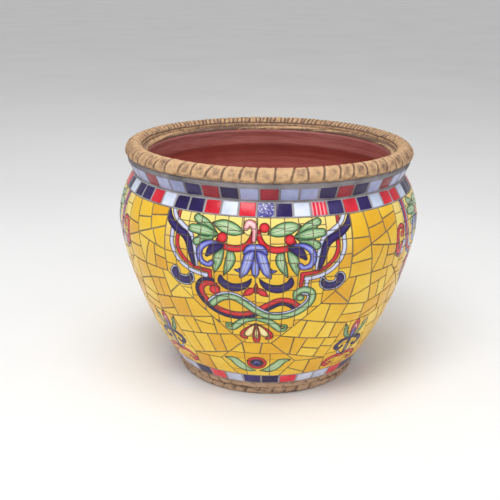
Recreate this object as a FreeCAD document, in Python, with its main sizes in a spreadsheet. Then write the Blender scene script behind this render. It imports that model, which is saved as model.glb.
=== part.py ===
import FreeCAD, Part
import math
import os
import random
import Sketcher

# Driving dimensions in millimetres, degrees and counts
SIZES = {
    "belly_radius": 216.5,
    "belly_height": 233,
    "belly_arc": 106,
    "flank_arc": 515,
    "flank_angle": 10,
    "shoulder_rise": 65.5,
    "neck_rise": 18.5,
    "neck_angle": 24,
    "collar_rise": 6,
    "wall": 9,
    "bed_thickness": 2,
    "tile_thickness": 4,
    "grout_recess": 0.8,
    "floor_thickness": 18,
    "drain_radius": 13,
    "foot_height": 20.5,
    "foot_step": 5,
    "foot_coil_width": 10,
    "foot_coil_spread": 3.5,
    "foot_lobe_arc": 7.5,
    "foot_lobes": 45,
    "foot_notch_depth": 2.2,
    "foot_notch_width": 3.4,
    "lip_width": 7,
    "lip_rise": 6,
    "lip_round": 5,
    "rim_coil_radius": 12.5,
    "rim_coil_seat": 7.5,
    "rim_coil_bite": 0.5,
    "rim_lobes": 72,
    "rim_notch_depth": 2.6,
    "rim_notch_width": 4.4,
    "band_joint": 2.4,
    "neck_tiles": 50,
    "shoulder_band": 17.5,
    "shoulder_tiles": 56,
    "foot_band": 17.3,
    "foot_tiles": 36,
    "panel_half_angle": 33.7,
    "panel_tip_angle": 6,
    "panel_side": 84,
    "panel_gap": 20,
    "panel_column": 4.8,
    "panel_row": 19,
    "panel_joint": 1.4,
    "flower_height": 44.5,
    "flower_waist": 29.5,
    "flower_top_angle": 12.5,
    "flower_wide_angle": 17.5,
    "flower_foot_angle": 11,
    "stem_height": 85.5,
    "stem_waist": 27.5,
    "stem_top_angle": 6.5,
    "stem_wide_angle": 12,
    "stem_foot_angle": 11,
    "flower_column": 11.7,
    "flower_row": 22,
    "stem_column": 8,
    "stem_row": 20,
    "field_joint": 2.4,
    "shard_area": 820,
}

# Colours of the band tiles, in turn to the right from the tile nearest the middle of the front panel
NECK_COLOURS = "P" + 6 * "RPPNRNP" + "PRPPNRN"
SHOULDER_COLOURS = "SNWRNRNWRRWN" + "NRWNNRWRNWNRNWRRWNRWNNRWRNWRNWNRRN" + "WNNRWNNRWR"
FOOT_COLOURS = 5 * "NRPPRN" + "PPNRPN"
COLOUR_NAMES = {"R": "red", "N": "navy", "P": "pale", "W": "white", "S": "speckled"}

# Degrees from the middle of the front panel to the middle of the first tile of each band
NECK_START = -2.9
SHOULDER_START = 3.1
FOOT_START = 6.4

PANELS = 4
QUARTER = 360 / PANELS
SIDES = ["front", "right", "back", "left"]
CORNERS = ["front_right", "back_right", "back_left", "front_left"]
SHARD_SEED = 11

# Cells cut smaller than this share of a whole one are left to the grout
SLIVER = 0.07

# Where the long joints leave the panel's slanted side, from its tip to its shoulder
LOW_SPOKE = 0.13
MID_SPOKE = 0.4
HIGH_SPOKE = 0.65
STEM_SPOKE = 0.6
CROWN_SHARE = 0.36

UP = FreeCAD.Vector(0, 0, 1)
ORIGIN = FreeCAD.Vector(0, 0, 0)

doc = FreeCAD.newDocument("flower_pot")


def make_sheet(name, rows):
    """A sheet with one named cell for each row."""
    sheet = doc.addObject("Spreadsheet::Sheet", name)
    for row, (alias, text) in enumerate(rows.items(), 1):
        sheet.set(f"A{row}", alias)
        sheet.set(f"B{row}", text)
        sheet.setAlias(f"B{row}", alias)
    doc.recompute()
    return sheet


sizes = make_sheet("Sizes", {name: str(value) for name, value in SIZES.items()})


def size(name):
    return float(getattr(sizes, name))


# Each layer of the wall lies at its own depth under the face of the tiles
DEPTHS = {
    "tile_face": "0",
    "grout_face": "Sizes.grout_recess",
    "bed_face": "Sizes.tile_thickness",
    "clay_face": "Sizes.tile_thickness + Sizes.bed_thickness",
    "clay_inside": "Sizes.tile_thickness + Sizes.bed_thickness + Sizes.wall",
}


def worked_cells():
    """Formulas of the heights and radii that follow from the driving dimensions."""
    cells = {
        "belly_x": "=Sizes.belly_radius - Sizes.belly_arc",
        "arc_step": "=Sizes.flank_arc - Sizes.belly_arc",
        "flank_x": "=belly_x - arc_step * cos(Sizes.flank_angle * 1 deg)",
        "flank_z": "=Sizes.belly_height + arc_step * sin(Sizes.flank_angle * 1 deg)",
        "crease_height": "=Sizes.belly_height + Sizes.shoulder_rise",
        "neck_top": "=crease_height + Sizes.neck_rise",
        "rim_seat": "=neck_top + Sizes.collar_rise",
        "flare": "=Sizes.neck_rise * tan(Sizes.neck_angle * 1 deg)",
        "field_bottom": "=Sizes.foot_height + Sizes.foot_band",
        "field_top": "=crease_height - Sizes.shoulder_band",
    }
    for layer, depth in DEPTHS.items():
        cells[f"{layer}_belly"] = f"=Sizes.belly_arc - ({depth})"
        cells[f"{layer}_flank"] = f"=Sizes.flank_arc - ({depth})"
        cells[f"{layer}_turn_x"] = f"=belly_x + {layer}_belly * cos(Sizes.flank_angle * 1 deg)"
        cells[f"{layer}_turn_z"] = f"=Sizes.belly_height - {layer}_belly * sin(Sizes.flank_angle * 1 deg)"
        start = "Sizes.floor_thickness" if layer == "clay_inside" else "Sizes.foot_height"
        cells[f"{layer}_start"] = f"=flank_x + sqrt({layer}_flank ^ 2 - ({start} - flank_z) ^ 2)"
        cells[f"{layer}_crease"] = f"=belly_x + sqrt({layer}_belly ^ 2 - Sizes.shoulder_rise ^ 2)"
        cells[f"{layer}_collar"] = f"={layer}_crease + flare"
    cells["foot_ring"] = "=clay_face_start - Sizes.foot_step"
    cells["foot_coil_base"] = "=foot_ring + Sizes.foot_coil_width - Sizes.foot_coil_spread"
    cells["foot_coil_top"] = "=foot_ring + Sizes.foot_coil_width"
    cells["foot_coil_middle"] = "=foot_coil_top - Sizes.foot_coil_spread / 2"
    cells["foot_coil_waist"] = "=Sizes.foot_height / 2"
    cells["lip_outside"] = "=clay_inside_crease + Sizes.lip_width"
    cells["lip_top"] = "=rim_seat + Sizes.lip_rise"
    cells["lip_shoulder"] = "=lip_top - Sizes.lip_round"
    cells["lip_crown"] = "=clay_inside_crease + Sizes.lip_round"
    cells["coil_reach"] = "=Sizes.rim_coil_radius - Sizes.rim_coil_bite"
    cells["coil_drop"] = "=Sizes.rim_coil_radius - Sizes.rim_coil_seat"
    cells["coil_x"] = "=lip_outside + coil_reach"
    cells["coil_z"] = "=rim_seat + coil_drop"
    cells["coil_seat_x"] = "=coil_x + sqrt(Sizes.rim_coil_radius ^ 2 - coil_drop ^ 2)"
    cells["coil_top"] = "=coil_z + Sizes.rim_coil_radius"
    cells["coil_lip_z"] = "=coil_z + sqrt(Sizes.rim_coil_radius ^ 2 - coil_reach ^ 2)"
    cells["rim_notch_tip"] = "=coil_x + Sizes.rim_coil_radius - Sizes.rim_notch_depth"
    cells["rim_notch_base"] = "=coil_x + Sizes.rim_coil_radius + Sizes.rim_notch_depth / 4"
    cells["foot_notch_tip"] = "=foot_coil_top - Sizes.foot_notch_depth"
    cells["foot_notch_base"] = "=foot_notch_tip + 2 * Sizes.foot_notch_depth"
    return cells


worked = make_sheet("Worked", worked_cells())


def place(name):
    return float(getattr(worked, name))


def cell(name):
    """Expression that reads a cell of either sheet, or zero."""
    if name == "0":
        return name
    return f"Sizes.{name}" if name in SIZES else f"Worked.{name}"


def number(name):
    if name == "0":
        return 0.0
    return size(name) if name in SIZES else place(name)


def arc_geometry(start, end, radius):
    """Arc of under a half circle, counter-clockwise from start to end."""
    chord = end - start
    half = chord.Length / 2
    left = FreeCAD.Vector(-chord.y, chord.x, 0).normalize()
    centre = (start + end) * 0.5 + left * math.sqrt(radius**2 - half**2)
    first = math.atan2(start.y - centre.y, start.x - centre.x)
    last = math.atan2(end.y - centre.y, end.x - centre.x)
    if last < first:
        last += 2 * math.pi
    return Part.ArcOfCircle(Part.Circle(centre, UP, radius), first, last)


def draw_profile(sketch, corners):
    """Closed outline of named corners, each bound to its cells.

    A corner is (x, z, arc, turn): arc names the radius of the side to the next corner, or is None,
    and turn is 1 for a counter-clockwise arc and -1 for a clockwise one.
    """
    points = [FreeCAD.Vector(number(x), number(z), 0) for x, z, arc, turn in corners]
    joins = []
    for index, (x, z, arc, turn) in enumerate(corners):
        here = points[index]
        there = points[(index + 1) % len(points)]
        if arc is None:
            side = sketch.addGeometry(Part.LineSegment(here, there))
        elif turn > 0:
            side = sketch.addGeometry(arc_geometry(here, there, number(arc)))
        else:
            side = sketch.addGeometry(arc_geometry(there, here, number(arc)))
        joins.append((side, 1, 2) if arc is None or turn > 0 else (side, 2, 1))
    for index, (x, z, arc, turn) in enumerate(corners):
        side, first, last = joins[index]
        before = joins[index - 1]
        sketch.addConstraint(Sketcher.Constraint("Coincident", before[0], before[2], side, first))
        bind(sketch, Sketcher.Constraint("DistanceX", -1, 1, side, first, points[index].x), x)
        if z == "0":
            sketch.addConstraint(Sketcher.Constraint("PointOnObject", side, first, -1))
        else:
            bind(sketch, Sketcher.Constraint("DistanceY", -1, 1, side, first, points[index].y), z)
        if arc is not None:
            bind(sketch, Sketcher.Constraint("Radius", side, number(arc)), arc)


def bind(sketch, constraint, name):
    index = sketch.addConstraint(constraint)
    sketch.setExpression(f"Constraints[{index}]", cell(name))


def origin_feature(body, role):
    return next(item for item in body.Origin.OriginFeatures if item.Role == role)


def new_sketch(body, name, plane):
    sketch = body.newObject("Sketcher::SketchObject", name)
    sketch.AttachmentSupport = [(origin_feature(body, plane), "")]
    sketch.MapMode = "FlatFace"
    return sketch


def turned_body(label, corners):
    """Body turned about the pot's axis from a closed outline."""
    body = doc.addObject("PartDesign::Body", label)
    body.Label = label
    sketch = new_sketch(body, f"{label}_outline", "XZ_Plane")
    draw_profile(sketch, corners)
    turned = body.newObject("PartDesign::Revolution", f"{label}_turned")
    turned.Profile = sketch
    turned.ReferenceAxis = (sketch, ["V_Axis"])
    turned.Angle = 360
    doc.recompute()
    return body


def wall_side(layer, start):
    """Corners of one face of the wall, from its start at the foot up to the rim seat."""
    return [
        (f"{layer}_start", start, f"{layer}_flank", 1),
        (f"{layer}_turn_x", f"{layer}_turn_z", f"{layer}_belly", 1),
        (f"{layer}_crease", "crease_height", None, 0),
        (f"{layer}_collar", "neck_top", None, 0),
        (f"{layer}_collar", "rim_seat", None, 0),
    ]


def clay_pot():
    """Thrown pot: base, wall that swells and closes in to the neck, flared collar and drain hole."""
    outside = [
        ("drain_radius", "0", None, 0),
        ("foot_ring", "0", None, 0),
        ("foot_ring", "foot_height", None, 0),
    ] + wall_side("clay_face", "foot_height")
    inside = [
        ("clay_inside_crease", "rim_seat", None, 0),
        ("clay_inside_crease", "crease_height", "clay_inside_belly", -1),
        ("clay_inside_turn_x", "clay_inside_turn_z", "clay_inside_flank", -1),
        ("clay_inside_start", "floor_thickness", None, 0),
        ("drain_radius", "floor_thickness", None, 0),
    ]
    turned_body("clay_pot", outside + inside)


def mortar_bed():
    """Even coat of mortar over the whole outside of the wall."""
    outside = wall_side("bed_face", "foot_height")
    inside = [
        ("clay_face_collar", "rim_seat", None, 0),
        ("clay_face_collar", "neck_top", None, 0),
        ("clay_face_crease", "crease_height", "clay_face_belly", -1),
        ("clay_face_turn_x", "clay_face_turn_z", "clay_face_flank", -1),
        ("clay_face_start", "foot_height", None, 0),
    ]
    turned_body("mortar_bed", outside + inside)


def rim_lip():
    """Smooth inner roll of the rim, rounded towards the mouth."""
    turned_body("rim_lip", [
        ("clay_inside_crease", "rim_seat", None, 0),
        ("lip_outside", "rim_seat", None, 0),
        ("lip_outside", "lip_top", None, 0),
        ("lip_crown", "lip_top", "lip_round", 1),
        ("clay_inside_crease", "lip_shoulder", None, 0),
    ])


def notch_sketch(body, name, tip, base, width):
    """Flat three-cornered notch: its tip on the X axis and its base across it, farther out."""
    sketch = new_sketch(body, name, "XY_Plane")
    half = number(width) / 2
    points = [
        FreeCAD.Vector(number(tip), 0, 0),
        FreeCAD.Vector(number(base), -half, 0),
        FreeCAD.Vector(number(base), half, 0),
    ]
    for index in range(3):
        sketch.addGeometry(Part.LineSegment(points[index], points[(index + 1) % 3]))
    for index in range(3):
        sketch.addConstraint(Sketcher.Constraint("Coincident", index, 2, (index + 1) % 3, 1))
    sketch.addConstraint(Sketcher.Constraint("PointOnObject", 0, 1, -1))
    sketch.addConstraint(Sketcher.Constraint("Symmetric", 0, 2, 1, 2, -1))
    bind(sketch, Sketcher.Constraint("DistanceX", -1, 1, 0, 1, number(tip)), tip)
    bind(sketch, Sketcher.Constraint("DistanceX", -1, 1, 0, 2, number(base)), base)
    bind(sketch, Sketcher.Constraint("DistanceY", 0, 2, 1, 2, number(width)), width)
    return sketch


def repeat_round(body, feature, count):
    """The same cut repeated round the pot's axis."""
    pattern = body.newObject("PartDesign::PolarPattern", f"{body.Label}_round")
    pattern.Originals = [feature]
    pattern.Axis = (origin_feature(body, "Z_Axis"), [""])
    pattern.Angle = 360
    pattern.Refine = False
    pattern.setExpression("Occurrences", cell(count))
    body.Tip = pattern
    doc.recompute()


def check_cut(body, plain):
    """A cut that points away from the solid takes nothing off, so the volumes are compared."""
    if body.Shape.Volume >= plain:
        raise RuntimeError(f"{body.Label} was not notched")


def rim_coil():
    """Thick outer coil of the rim, pressed into lobes by notches that run round its section."""
    body = turned_body("rim_coil", [
        ("lip_outside", "rim_seat", None, 0),
        ("coil_seat_x", "rim_seat", "rim_coil_radius", 1),
        ("coil_x", "coil_top", "rim_coil_radius", 1),
        ("lip_outside", "coil_lip_z", None, 0),
    ])
    plain = body.Shape.Volume
    notch = notch_sketch(body, "rim_notch", "rim_notch_tip", "rim_notch_base", "rim_notch_width")
    notch.setExpression("AttachmentOffset.Base.z", cell("coil_z"))
    axis = notch.addGeometry(
        Part.LineSegment(FreeCAD.Vector(place("coil_x"), -1, 0), FreeCAD.Vector(place("coil_x"), 1, 0)), True
    )
    notch.addConstraint(Sketcher.Constraint("Vertical", axis))
    bind(notch, Sketcher.Constraint("DistanceX", -1, 1, axis, 1, place("coil_x")), "coil_x")
    cut = body.newObject("PartDesign::Groove", "rim_notch_cut")
    cut.Profile = notch
    cut.ReferenceAxis = (notch, ["Axis0"])
    cut.Angle = 360
    cut.Refine = False
    repeat_round(body, cut, "rim_lobes")
    check_cut(body, plain)


def foot_coil():
    """Coil round the foot: two rolls one above the other, notched into lobes."""
    body = turned_body("foot_coil", [
        ("foot_ring", "0", None, 0),
        ("foot_coil_base", "0", "foot_lobe_arc", 1),
        ("foot_coil_middle", "foot_coil_waist", "foot_lobe_arc", 1),
        ("foot_coil_top", "foot_height", None, 0),
        ("foot_ring", "foot_height", None, 0),
    ])
    plain = body.Shape.Volume
    notch = notch_sketch(body, "foot_notch", "foot_notch_tip", "foot_notch_base", "foot_notch_width")
    cut = body.newObject("PartDesign::Pocket", "foot_notch_cut")
    cut.Profile = notch
    cut.setExpression("Length", cell("foot_height"))
    cut.Reversed = True
    repeat_round(body, cut, "foot_lobes")
    check_cut(body, plain)


def radius_at(height, depth=0.0):
    """Radius of the wall below the crease, at a depth under the face of the tiles."""
    belly = size("belly_arc") - depth
    turn = size("belly_height") - belly * math.sin(math.radians(size("flank_angle")))
    if height > turn:
        return place("belly_x") + math.sqrt(belly**2 - (height - size("belly_height")) ** 2)
    flank = size("flank_arc") - depth
    return place("flank_x") + math.sqrt(flank**2 - (height - place("flank_z")) ** 2)


def outward(height):
    """Radial and upward parts of the unit normal of the tile face at a height."""
    if height > place("tile_face_turn_z"):
        lift = (height - size("belly_height")) / size("belly_arc")
    else:
        lift = (height - place("flank_z")) / size("flank_arc")
    return math.sqrt(1 - lift**2), lift


def section_point(height, depth):
    return FreeCAD.Vector(radius_at(height, depth), 0, height)


def layer_side(depth, low, high):
    """Arcs of one face of a layer between two heights."""
    belly = size("belly_arc") - depth
    turn = size("belly_height") - belly * math.sin(math.radians(size("flank_angle")))
    heights = [low, turn, high] if low < turn < high else [low, high]
    return [
        Part.Arc(
            section_point(start, depth), section_point((start + end) / 2, depth), section_point(end, depth)
        ).toShape()
        for start, end in zip(heights, heights[1:])
    ]


def layer_section(outer, inner, low, high):
    """Section of a layer of the wall below the crease, between two depths and two heights."""
    edges = layer_side(outer, low, high) + layer_side(inner, low, high)
    for height in (low, high):
        edges.append(Part.makeLine(section_point(height, outer), section_point(height, inner)))
    return Part.Face(Part.Wire(Part.sortEdges(edges)[0]))


def crease_radius(depth):
    return radius_at(place("crease_height"), depth)


def neck_point(height, depth):
    """Point of the flared neck or of the upright collar above it."""
    rise = min(height, place("neck_top")) - place("crease_height")
    flare = rise * math.tan(math.radians(size("neck_angle")))
    return FreeCAD.Vector(crease_radius(depth) + flare, 0, height)


def neck_section(outer, inner, heights):
    """Section of a layer of the neck, with corners at the given heights."""
    corners = [neck_point(height, outer) for height in heights]
    corners += [neck_point(height, inner) for height in reversed(heights)]
    return Part.Face(Part.makePolygon(corners + corners[:1]))


def sector(section, start, width):
    """Solid swept by a section round the pot's axis. Angles count to the right from the front."""
    turned = section.copy()
    turned.rotate(ORIGIN, UP, start - 90)
    return turned.revolve(ORIGIN, UP, width)


def turned_copy(shape, angle):
    turned = shape.copy()
    turned.rotate(ORIGIN, UP, angle)
    return turned


def add_piece(label, solids):
    """One node that holds one solid, or a group of like solids."""
    piece = doc.addObject("Part::Feature", label)
    piece.Label = label
    piece.Shape = Part.makeCompound(solids)
    piece.Placement = FreeCAD.Placement()
    return piece


def band(name, sections, joint_radius, count, colours, start):
    """Tiles of one band, a node for each colour, and the grout round them in a few equal lengths.

    The sections are those of a tile, of the block that makes room for it, and of the grout.
    """
    tile_section, room_section, grout_section = sections
    pitch = 360 / count
    width = pitch - math.degrees(size("band_joint") / joint_radius)
    tile = sector(tile_section, -width / 2, width)
    room = sector(room_section, -width / 2, width)
    groups = {}
    for index in range(count):
        letter = colours[index % len(colours)]
        groups.setdefault(letter, []).append(turned_copy(tile, start + index * pitch))
    for letter, solids in sorted(groups.items()):
        add_piece(f"{name}_tiles_{COLOUR_NAMES[letter]}", solids)
    lengths = math.gcd(count, PANELS)
    rooms = [turned_copy(room, start + index * pitch) for index in range(count // lengths)]
    grout = sector(grout_section, start - pitch / 2, 360 / lengths).cut(rooms)
    add_piece(
        f"{name}_grout",
        [turned_copy(solid, 360 / lengths * index) for index in range(lengths) for solid in grout.Solids],
    )


def neck_band():
    """Square-cut tiles on the flare under the rim, with grout up to the rim."""
    low = place("crease_height") + size("band_joint") / 2
    high = place("neck_top") - size("band_joint") / 2
    tile = size("tile_thickness")
    grout_heights = [place("crease_height"), place("neck_top"), place("rim_seat")]
    sections = (
        neck_section(0, tile, [low, high]),
        neck_section(-tile, 2 * tile, [low, high]),
        neck_section(size("grout_recess"), tile, grout_heights),
    )
    band("neck", sections, crease_radius(0), round(size("neck_tiles")), NECK_COLOURS, NECK_START)


def wall_band(name, low, high, count, colours, start):
    """Square-cut tiles in a ring of the wall, with their grout."""
    gap = size("band_joint") / 2
    tile = size("tile_thickness")
    sections = (
        layer_section(0, tile, low + gap, high - gap),
        layer_section(-tile, 2 * tile, low + gap, high - gap),
        layer_section(size("grout_recess"), tile, low, high),
    )
    band(name, sections, radius_at((low + high) / 2), round(size(count)), colours, start)


def shoulder_band():
    """Band of square-cut tiles on the shoulder, up to the crease of the neck."""
    low = place("field_top")
    wall_band("shoulder", low, place("crease_height"), "shoulder_tiles", SHOULDER_COLOURS, SHOULDER_START)


def foot_band():
    """Band of square-cut tiles over the foot coil."""
    wall_band("foot", size("foot_height"), place("field_bottom"), "foot_tiles", FOOT_COLOURS, FOOT_START)


def between(start, end, share):
    return tuple(a + (b - a) * share for a, b in zip(start, end))


def mirrored(outline, middle=0.0):
    return [(2 * middle - angle, height) for angle, height in reversed(outline)]


def flat_scale(outline):
    """Millimetres on the tile face for a degree of angle and for a millimetre of height."""
    height = sum(corner[1] for corner in outline) / len(outline)
    return math.radians(1) * radius_at(height), 1 / outward(height)[0]


def area(outline):
    across, along = flat_scale(outline)
    total = 0.0
    for (a, b), (c, d) in zip(outline, outline[1:] + outline[:1]):
        total += a * d - b * c
    return total / 2 * across * along


def clip(outline, point, normal):
    """Part of a convex outline on the side of a line that its normal points away from."""
    kept = []
    for start, end in zip(outline, outline[1:] + outline[:1]):
        near = (start[0] - point[0]) * normal[0] + (start[1] - point[1]) * normal[1]
        far = (end[0] - point[0]) * normal[0] + (end[1] - point[1]) * normal[1]
        if near <= 0:
            kept.append(start)
        if near * far < 0:
            kept.append(between(start, end, near / (near - far)))
    return kept


def inset(outline, distance):
    """Convex outline with every side moved inwards by a distance on the tile face."""
    across, along = flat_scale(outline)
    shrunk = outline
    for start, end in zip(outline, outline[1:] + outline[:1]):
        side = ((end[0] - start[0]) * across, (end[1] - start[1]) * along)
        length = math.hypot(*side)
        if length < distance:
            continue
        out = (side[1] / length, -side[0] / length)
        point = (start[0] - out[0] * distance / across, start[1] - out[1] * distance / along)
        shrunk = clip(shrunk, point, (out[0] * across, out[1] * along))
    return shrunk


def shatter(outline, chance):
    """Break a convex outline across its longest side until every shard is small enough."""
    if area(outline) < size("shard_area") * chance.uniform(0.8, 1.35):
        return [outline]
    across, along = flat_scale(outline)

    def span(side):
        (left, bottom), (right, top) = side
        return math.hypot((right - left) * across, (top - bottom) * along)

    start, end = max(zip(outline, outline[1:] + outline[:1]), key=span)
    point = between(start, end, chance.uniform(0.42, 0.58))
    heading = math.atan2((end[1] - start[1]) * along, (end[0] - start[0]) * across)
    heading += math.radians(chance.uniform(-13, 13))
    normal = (math.cos(heading) * across, math.sin(heading) * along)
    pieces = []
    for sign in (1, -1):
        half = clip(outline, point, (sign * normal[0], sign * normal[1]))
        pieces += shatter(half, chance)
    return pieces


def grid_cells(outline, middle, column, row, shift, chance):
    """Upright columns of cells inside a convex outline. Shift moves the columns by a share of one."""
    angles = [corner[0] for corner in outline]
    heights = [corner[1] for corner in outline]
    first = math.floor((min(angles) - middle) / column + shift)
    last = math.ceil((max(angles) - middle) / column + shift)
    cells = []
    for index in range(first, last):
        left = middle + (index - shift) * column
        top = max(heights) + row * chance.uniform(0, 0.6)
        while top > min(heights):
            bottom = top - row * chance.uniform(0.9, 1.1)
            cell_outline = clip(outline, (left, 0), (-1, 0))
            cell_outline = clip(cell_outline, (left + column, 0), (1, 0))
            cell_outline = clip(cell_outline, (0, top), (0, 1))
            cell_outline = clip(cell_outline, (0, bottom), (0, -1))
            cells.append(cell_outline)
            top = bottom
    smallest = SLIVER * math.radians(column) * size("belly_radius") * row
    return [one for one in cells if len(one) > 2 and area(one) > smallest]


def face_point(angle, height):
    turn = math.radians(angle - 90)
    radius = radius_at(height)
    return FreeCAD.Vector(radius * math.cos(turn), radius * math.sin(turn), height)


def tile_cutter(outline):
    """Tapered block through the wall layers over an outline, square to the face at its middle."""
    angle = sum(corner[0] for corner in outline) / len(outline)
    height = sum(corner[1] for corner in outline) / len(outline)
    level, lift = outward(height)
    turn = math.radians(angle - 90)
    normal = FreeCAD.Vector(level * math.cos(turn), level * math.sin(turn), lift)
    apex = FreeCAD.Vector(0, 0, height - radius_at(height) * lift / level)
    rays = [face_point(*corner) - apex for corner in outline]
    reach = [ray.dot(normal) for ray in rays]
    outside = max(reach) + size("tile_thickness")
    inside = min(reach) - 2 * size("tile_thickness")
    outer = [apex + ray * (outside / far) for ray, far in zip(rays, reach)]
    inner = [apex + ray * (inside / far) for ray, far in zip(rays, reach)]
    faces = [Part.Face(Part.makePolygon(ring + ring[:1])) for ring in (outer, inner)]
    for index in range(len(outline)):
        corners = [inner[index - 1], inner[index], outer[index], outer[index - 1]]
        faces.append(Part.Face(Part.makePolygon(corners + corners[:1])))
    return Part.makeSolid(Part.makeShell(faces))


def field_outlines():
    """Outlines of the panels and of the patches between them, for one quarter of the pot."""
    low = place("field_bottom")
    top = place("field_top")
    side = top - size("panel_side")
    flower_top = low + size("flower_height")
    tip_height = flower_top + size("panel_gap")
    stem_top = low + size("stem_height")
    middle = QUARTER / 2

    tip = (size("panel_tip_angle"), tip_height)
    shoulder = (size("panel_half_angle"), side)
    head = (size("panel_half_angle"), top)
    panel_side = [tip, shoulder, head]

    bloom_foot = (size("flower_foot_angle"), low)
    bloom_waist = (size("flower_wide_angle"), low + size("flower_waist"))
    bloom_head = (size("flower_top_angle"), flower_top)
    flower_side = [bloom_foot, bloom_waist, bloom_head]

    stem_foot = (middle - size("stem_foot_angle"), low)
    stem_waist = (middle - size("stem_wide_angle"), low + size("stem_waist"))
    stem_head = (middle - size("stem_top_angle"), stem_top)
    stem_side = [stem_head, stem_waist, stem_foot]

    low_spoke = between(tip, shoulder, LOW_SPOKE)
    mid_spoke = between(tip, shoulder, MID_SPOKE)
    high_spoke = between(tip, shoulder, HIGH_SPOKE)
    stem_spoke = between(stem_waist, stem_head, STEM_SPOKE)
    crown = (middle, stem_top + (side - stem_top) * CROWN_SHARE)

    beside = [
        [low_spoke, stem_spoke, stem_head, mid_spoke],
        [tip, bloom_head, stem_waist, stem_spoke, low_spoke],
        [bloom_head, bloom_waist, stem_waist],
        [bloom_foot, stem_foot, stem_waist, bloom_waist],
    ]
    above_stem = [mid_spoke, stem_head, (middle, stem_top), crown, high_spoke]
    patches = [
        [shoulder] + mirrored([head, shoulder], middle) + [head],
        [high_spoke, crown] + mirrored([shoulder, high_spoke], middle) + [shoulder],
        above_stem,
        mirrored(above_stem, middle),
        mirrored([bloom_head]) + [bloom_head, tip] + mirrored([tip]),
    ]
    patches += beside + [mirrored(patch) for patch in beside]
    panel = panel_side + mirrored(panel_side)
    flower = flower_side + mirrored(flower_side)
    stem = stem_side + mirrored(stem_side, middle)
    return panel, flower, stem, patches


def field():
    """Painted panels, flower and stem tiles, yellow shards and the grout net between them all."""
    chance = random.Random(SHARD_SEED)
    panel, flower, stem, patches = field_outlines()
    middle = QUARTER / 2
    fine = size("panel_joint") / 2
    groups = {
        "panel": grid_cells(panel, 0, size("panel_column"), size("panel_row"), 0, chance),
        "flower": grid_cells(flower, 0, size("flower_column"), size("flower_row"), 0.5, chance),
        "stem": grid_cells(stem, middle, size("stem_column"), size("stem_row"), 0.5, chance),
        "field": [shard for patch in patches for shard in shatter(patch, chance)],
    }
    joints = {"panel": fine, "flower": fine, "stem": fine, "field": size("field_joint") / 2}
    low = place("field_bottom")
    high = place("field_top")
    tile = size("tile_thickness")
    layer = sector(layer_section(0, tile, low, high), -QUARTER, 2 * QUARTER)
    all_cutters = []
    for name, cells in groups.items():
        cutters = [tile_cutter(inset(cell_outline, joints[name])) for cell_outline in cells]
        solids = layer.common(cutters).Solids
        for quarter in range(PANELS):
            side = CORNERS[quarter] if name == "stem" else SIDES[quarter]
            add_piece(f"{name}_tiles_{side}", [turned_copy(solid, quarter * QUARTER) for solid in solids])
        all_cutters += cutters
    around = all_cutters + [turned_copy(cutter, -QUARTER) for cutter in all_cutters]
    net = sector(layer_section(size("grout_recess"), tile, low, high), -middle, QUARTER).cut(around)
    add_piece("field_grout", [turned_copy(solid, k * QUARTER) for k in range(PANELS) for solid in net.Solids])


for make in (clay_pot, mortar_bed, rim_lip, rim_coil, foot_coil, neck_band, shoulder_band, foot_band, field):
    make()

doc.recompute()
for item in doc.Objects:
    if "Invalid" in item.State or "Error" in item.State:
        raise RuntimeError(f"{item.Label} failed")
pieces = [item for item in doc.Objects if item.TypeId in ("PartDesign::Body", "Part::Feature")]
for piece in pieces:
    if piece.Shape.isNull() or not piece.Shape.isValid():
        raise RuntimeError(f"{piece.Label} has no sound shape")

os.makedirs("parts", exist_ok=True)
for piece in pieces:
    piece.Shape.exportStep(f"parts/{piece.Label}.step")
print(len(pieces), "pieces,", sum(len(piece.Shape.Solids) for piece in pieces), "solids")
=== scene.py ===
import math
from collections import namedtuple

import bpy
import numpy as np
from mathutils import Matrix, Vector


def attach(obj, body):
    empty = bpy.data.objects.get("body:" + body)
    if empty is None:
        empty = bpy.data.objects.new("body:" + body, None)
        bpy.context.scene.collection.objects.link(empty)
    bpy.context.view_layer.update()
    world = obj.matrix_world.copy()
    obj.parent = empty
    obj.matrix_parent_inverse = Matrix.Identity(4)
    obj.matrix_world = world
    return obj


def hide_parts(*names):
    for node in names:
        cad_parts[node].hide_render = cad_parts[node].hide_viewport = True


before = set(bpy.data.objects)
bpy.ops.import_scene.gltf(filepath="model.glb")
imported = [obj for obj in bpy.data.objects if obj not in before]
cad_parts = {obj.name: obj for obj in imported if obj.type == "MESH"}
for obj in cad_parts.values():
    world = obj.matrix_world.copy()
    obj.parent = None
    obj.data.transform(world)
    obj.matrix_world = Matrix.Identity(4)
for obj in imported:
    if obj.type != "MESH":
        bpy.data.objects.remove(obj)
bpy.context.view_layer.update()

chance = np.random.default_rng(23)
MM = 0.001

# Section of the wall at the face of the tiles, in metres: a belly arc that runs into a flatter flank arc
BELLY_ARC = 0.106
BELLY_X = 0.1105
BELLY_Z = 0.233
FLANK_ARC = 0.515
FLANK_TURN = math.radians(10)
FLANK_X = BELLY_X - (FLANK_ARC - BELLY_ARC) * math.cos(FLANK_TURN)
FLANK_Z = BELLY_Z + (FLANK_ARC - BELLY_ARC) * math.sin(FLANK_TURN)
TURN_Z = BELLY_Z - BELLY_ARC * math.sin(FLANK_TURN)
FOOT_Z = 0.0205
FOOT_BAND_TOP = 0.0378
FIELD_TOP = 0.281
CREASE_Z = 0.2985
NECK_TOP = 0.317
RIM_SEAT = 0.323
NECK_FLARE = math.radians(24)
GROUT_DEPTH = 0.7 * MM
BAND_GROUT_DEPTH = 0.5 * MM
CREASE_BEAD = 0.7 * MM
CREASE_BEAD_WIDTH = 2.2 * MM
BED_DEPTH = 4 * MM
CLAY_DEPTH = 6 * MM
WALL = 9 * MM
FLOOR_THICKNESS = 18 * MM
DRAIN_RADIUS = 13 * MM
FOOT_RING = 125.4 * MM


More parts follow.
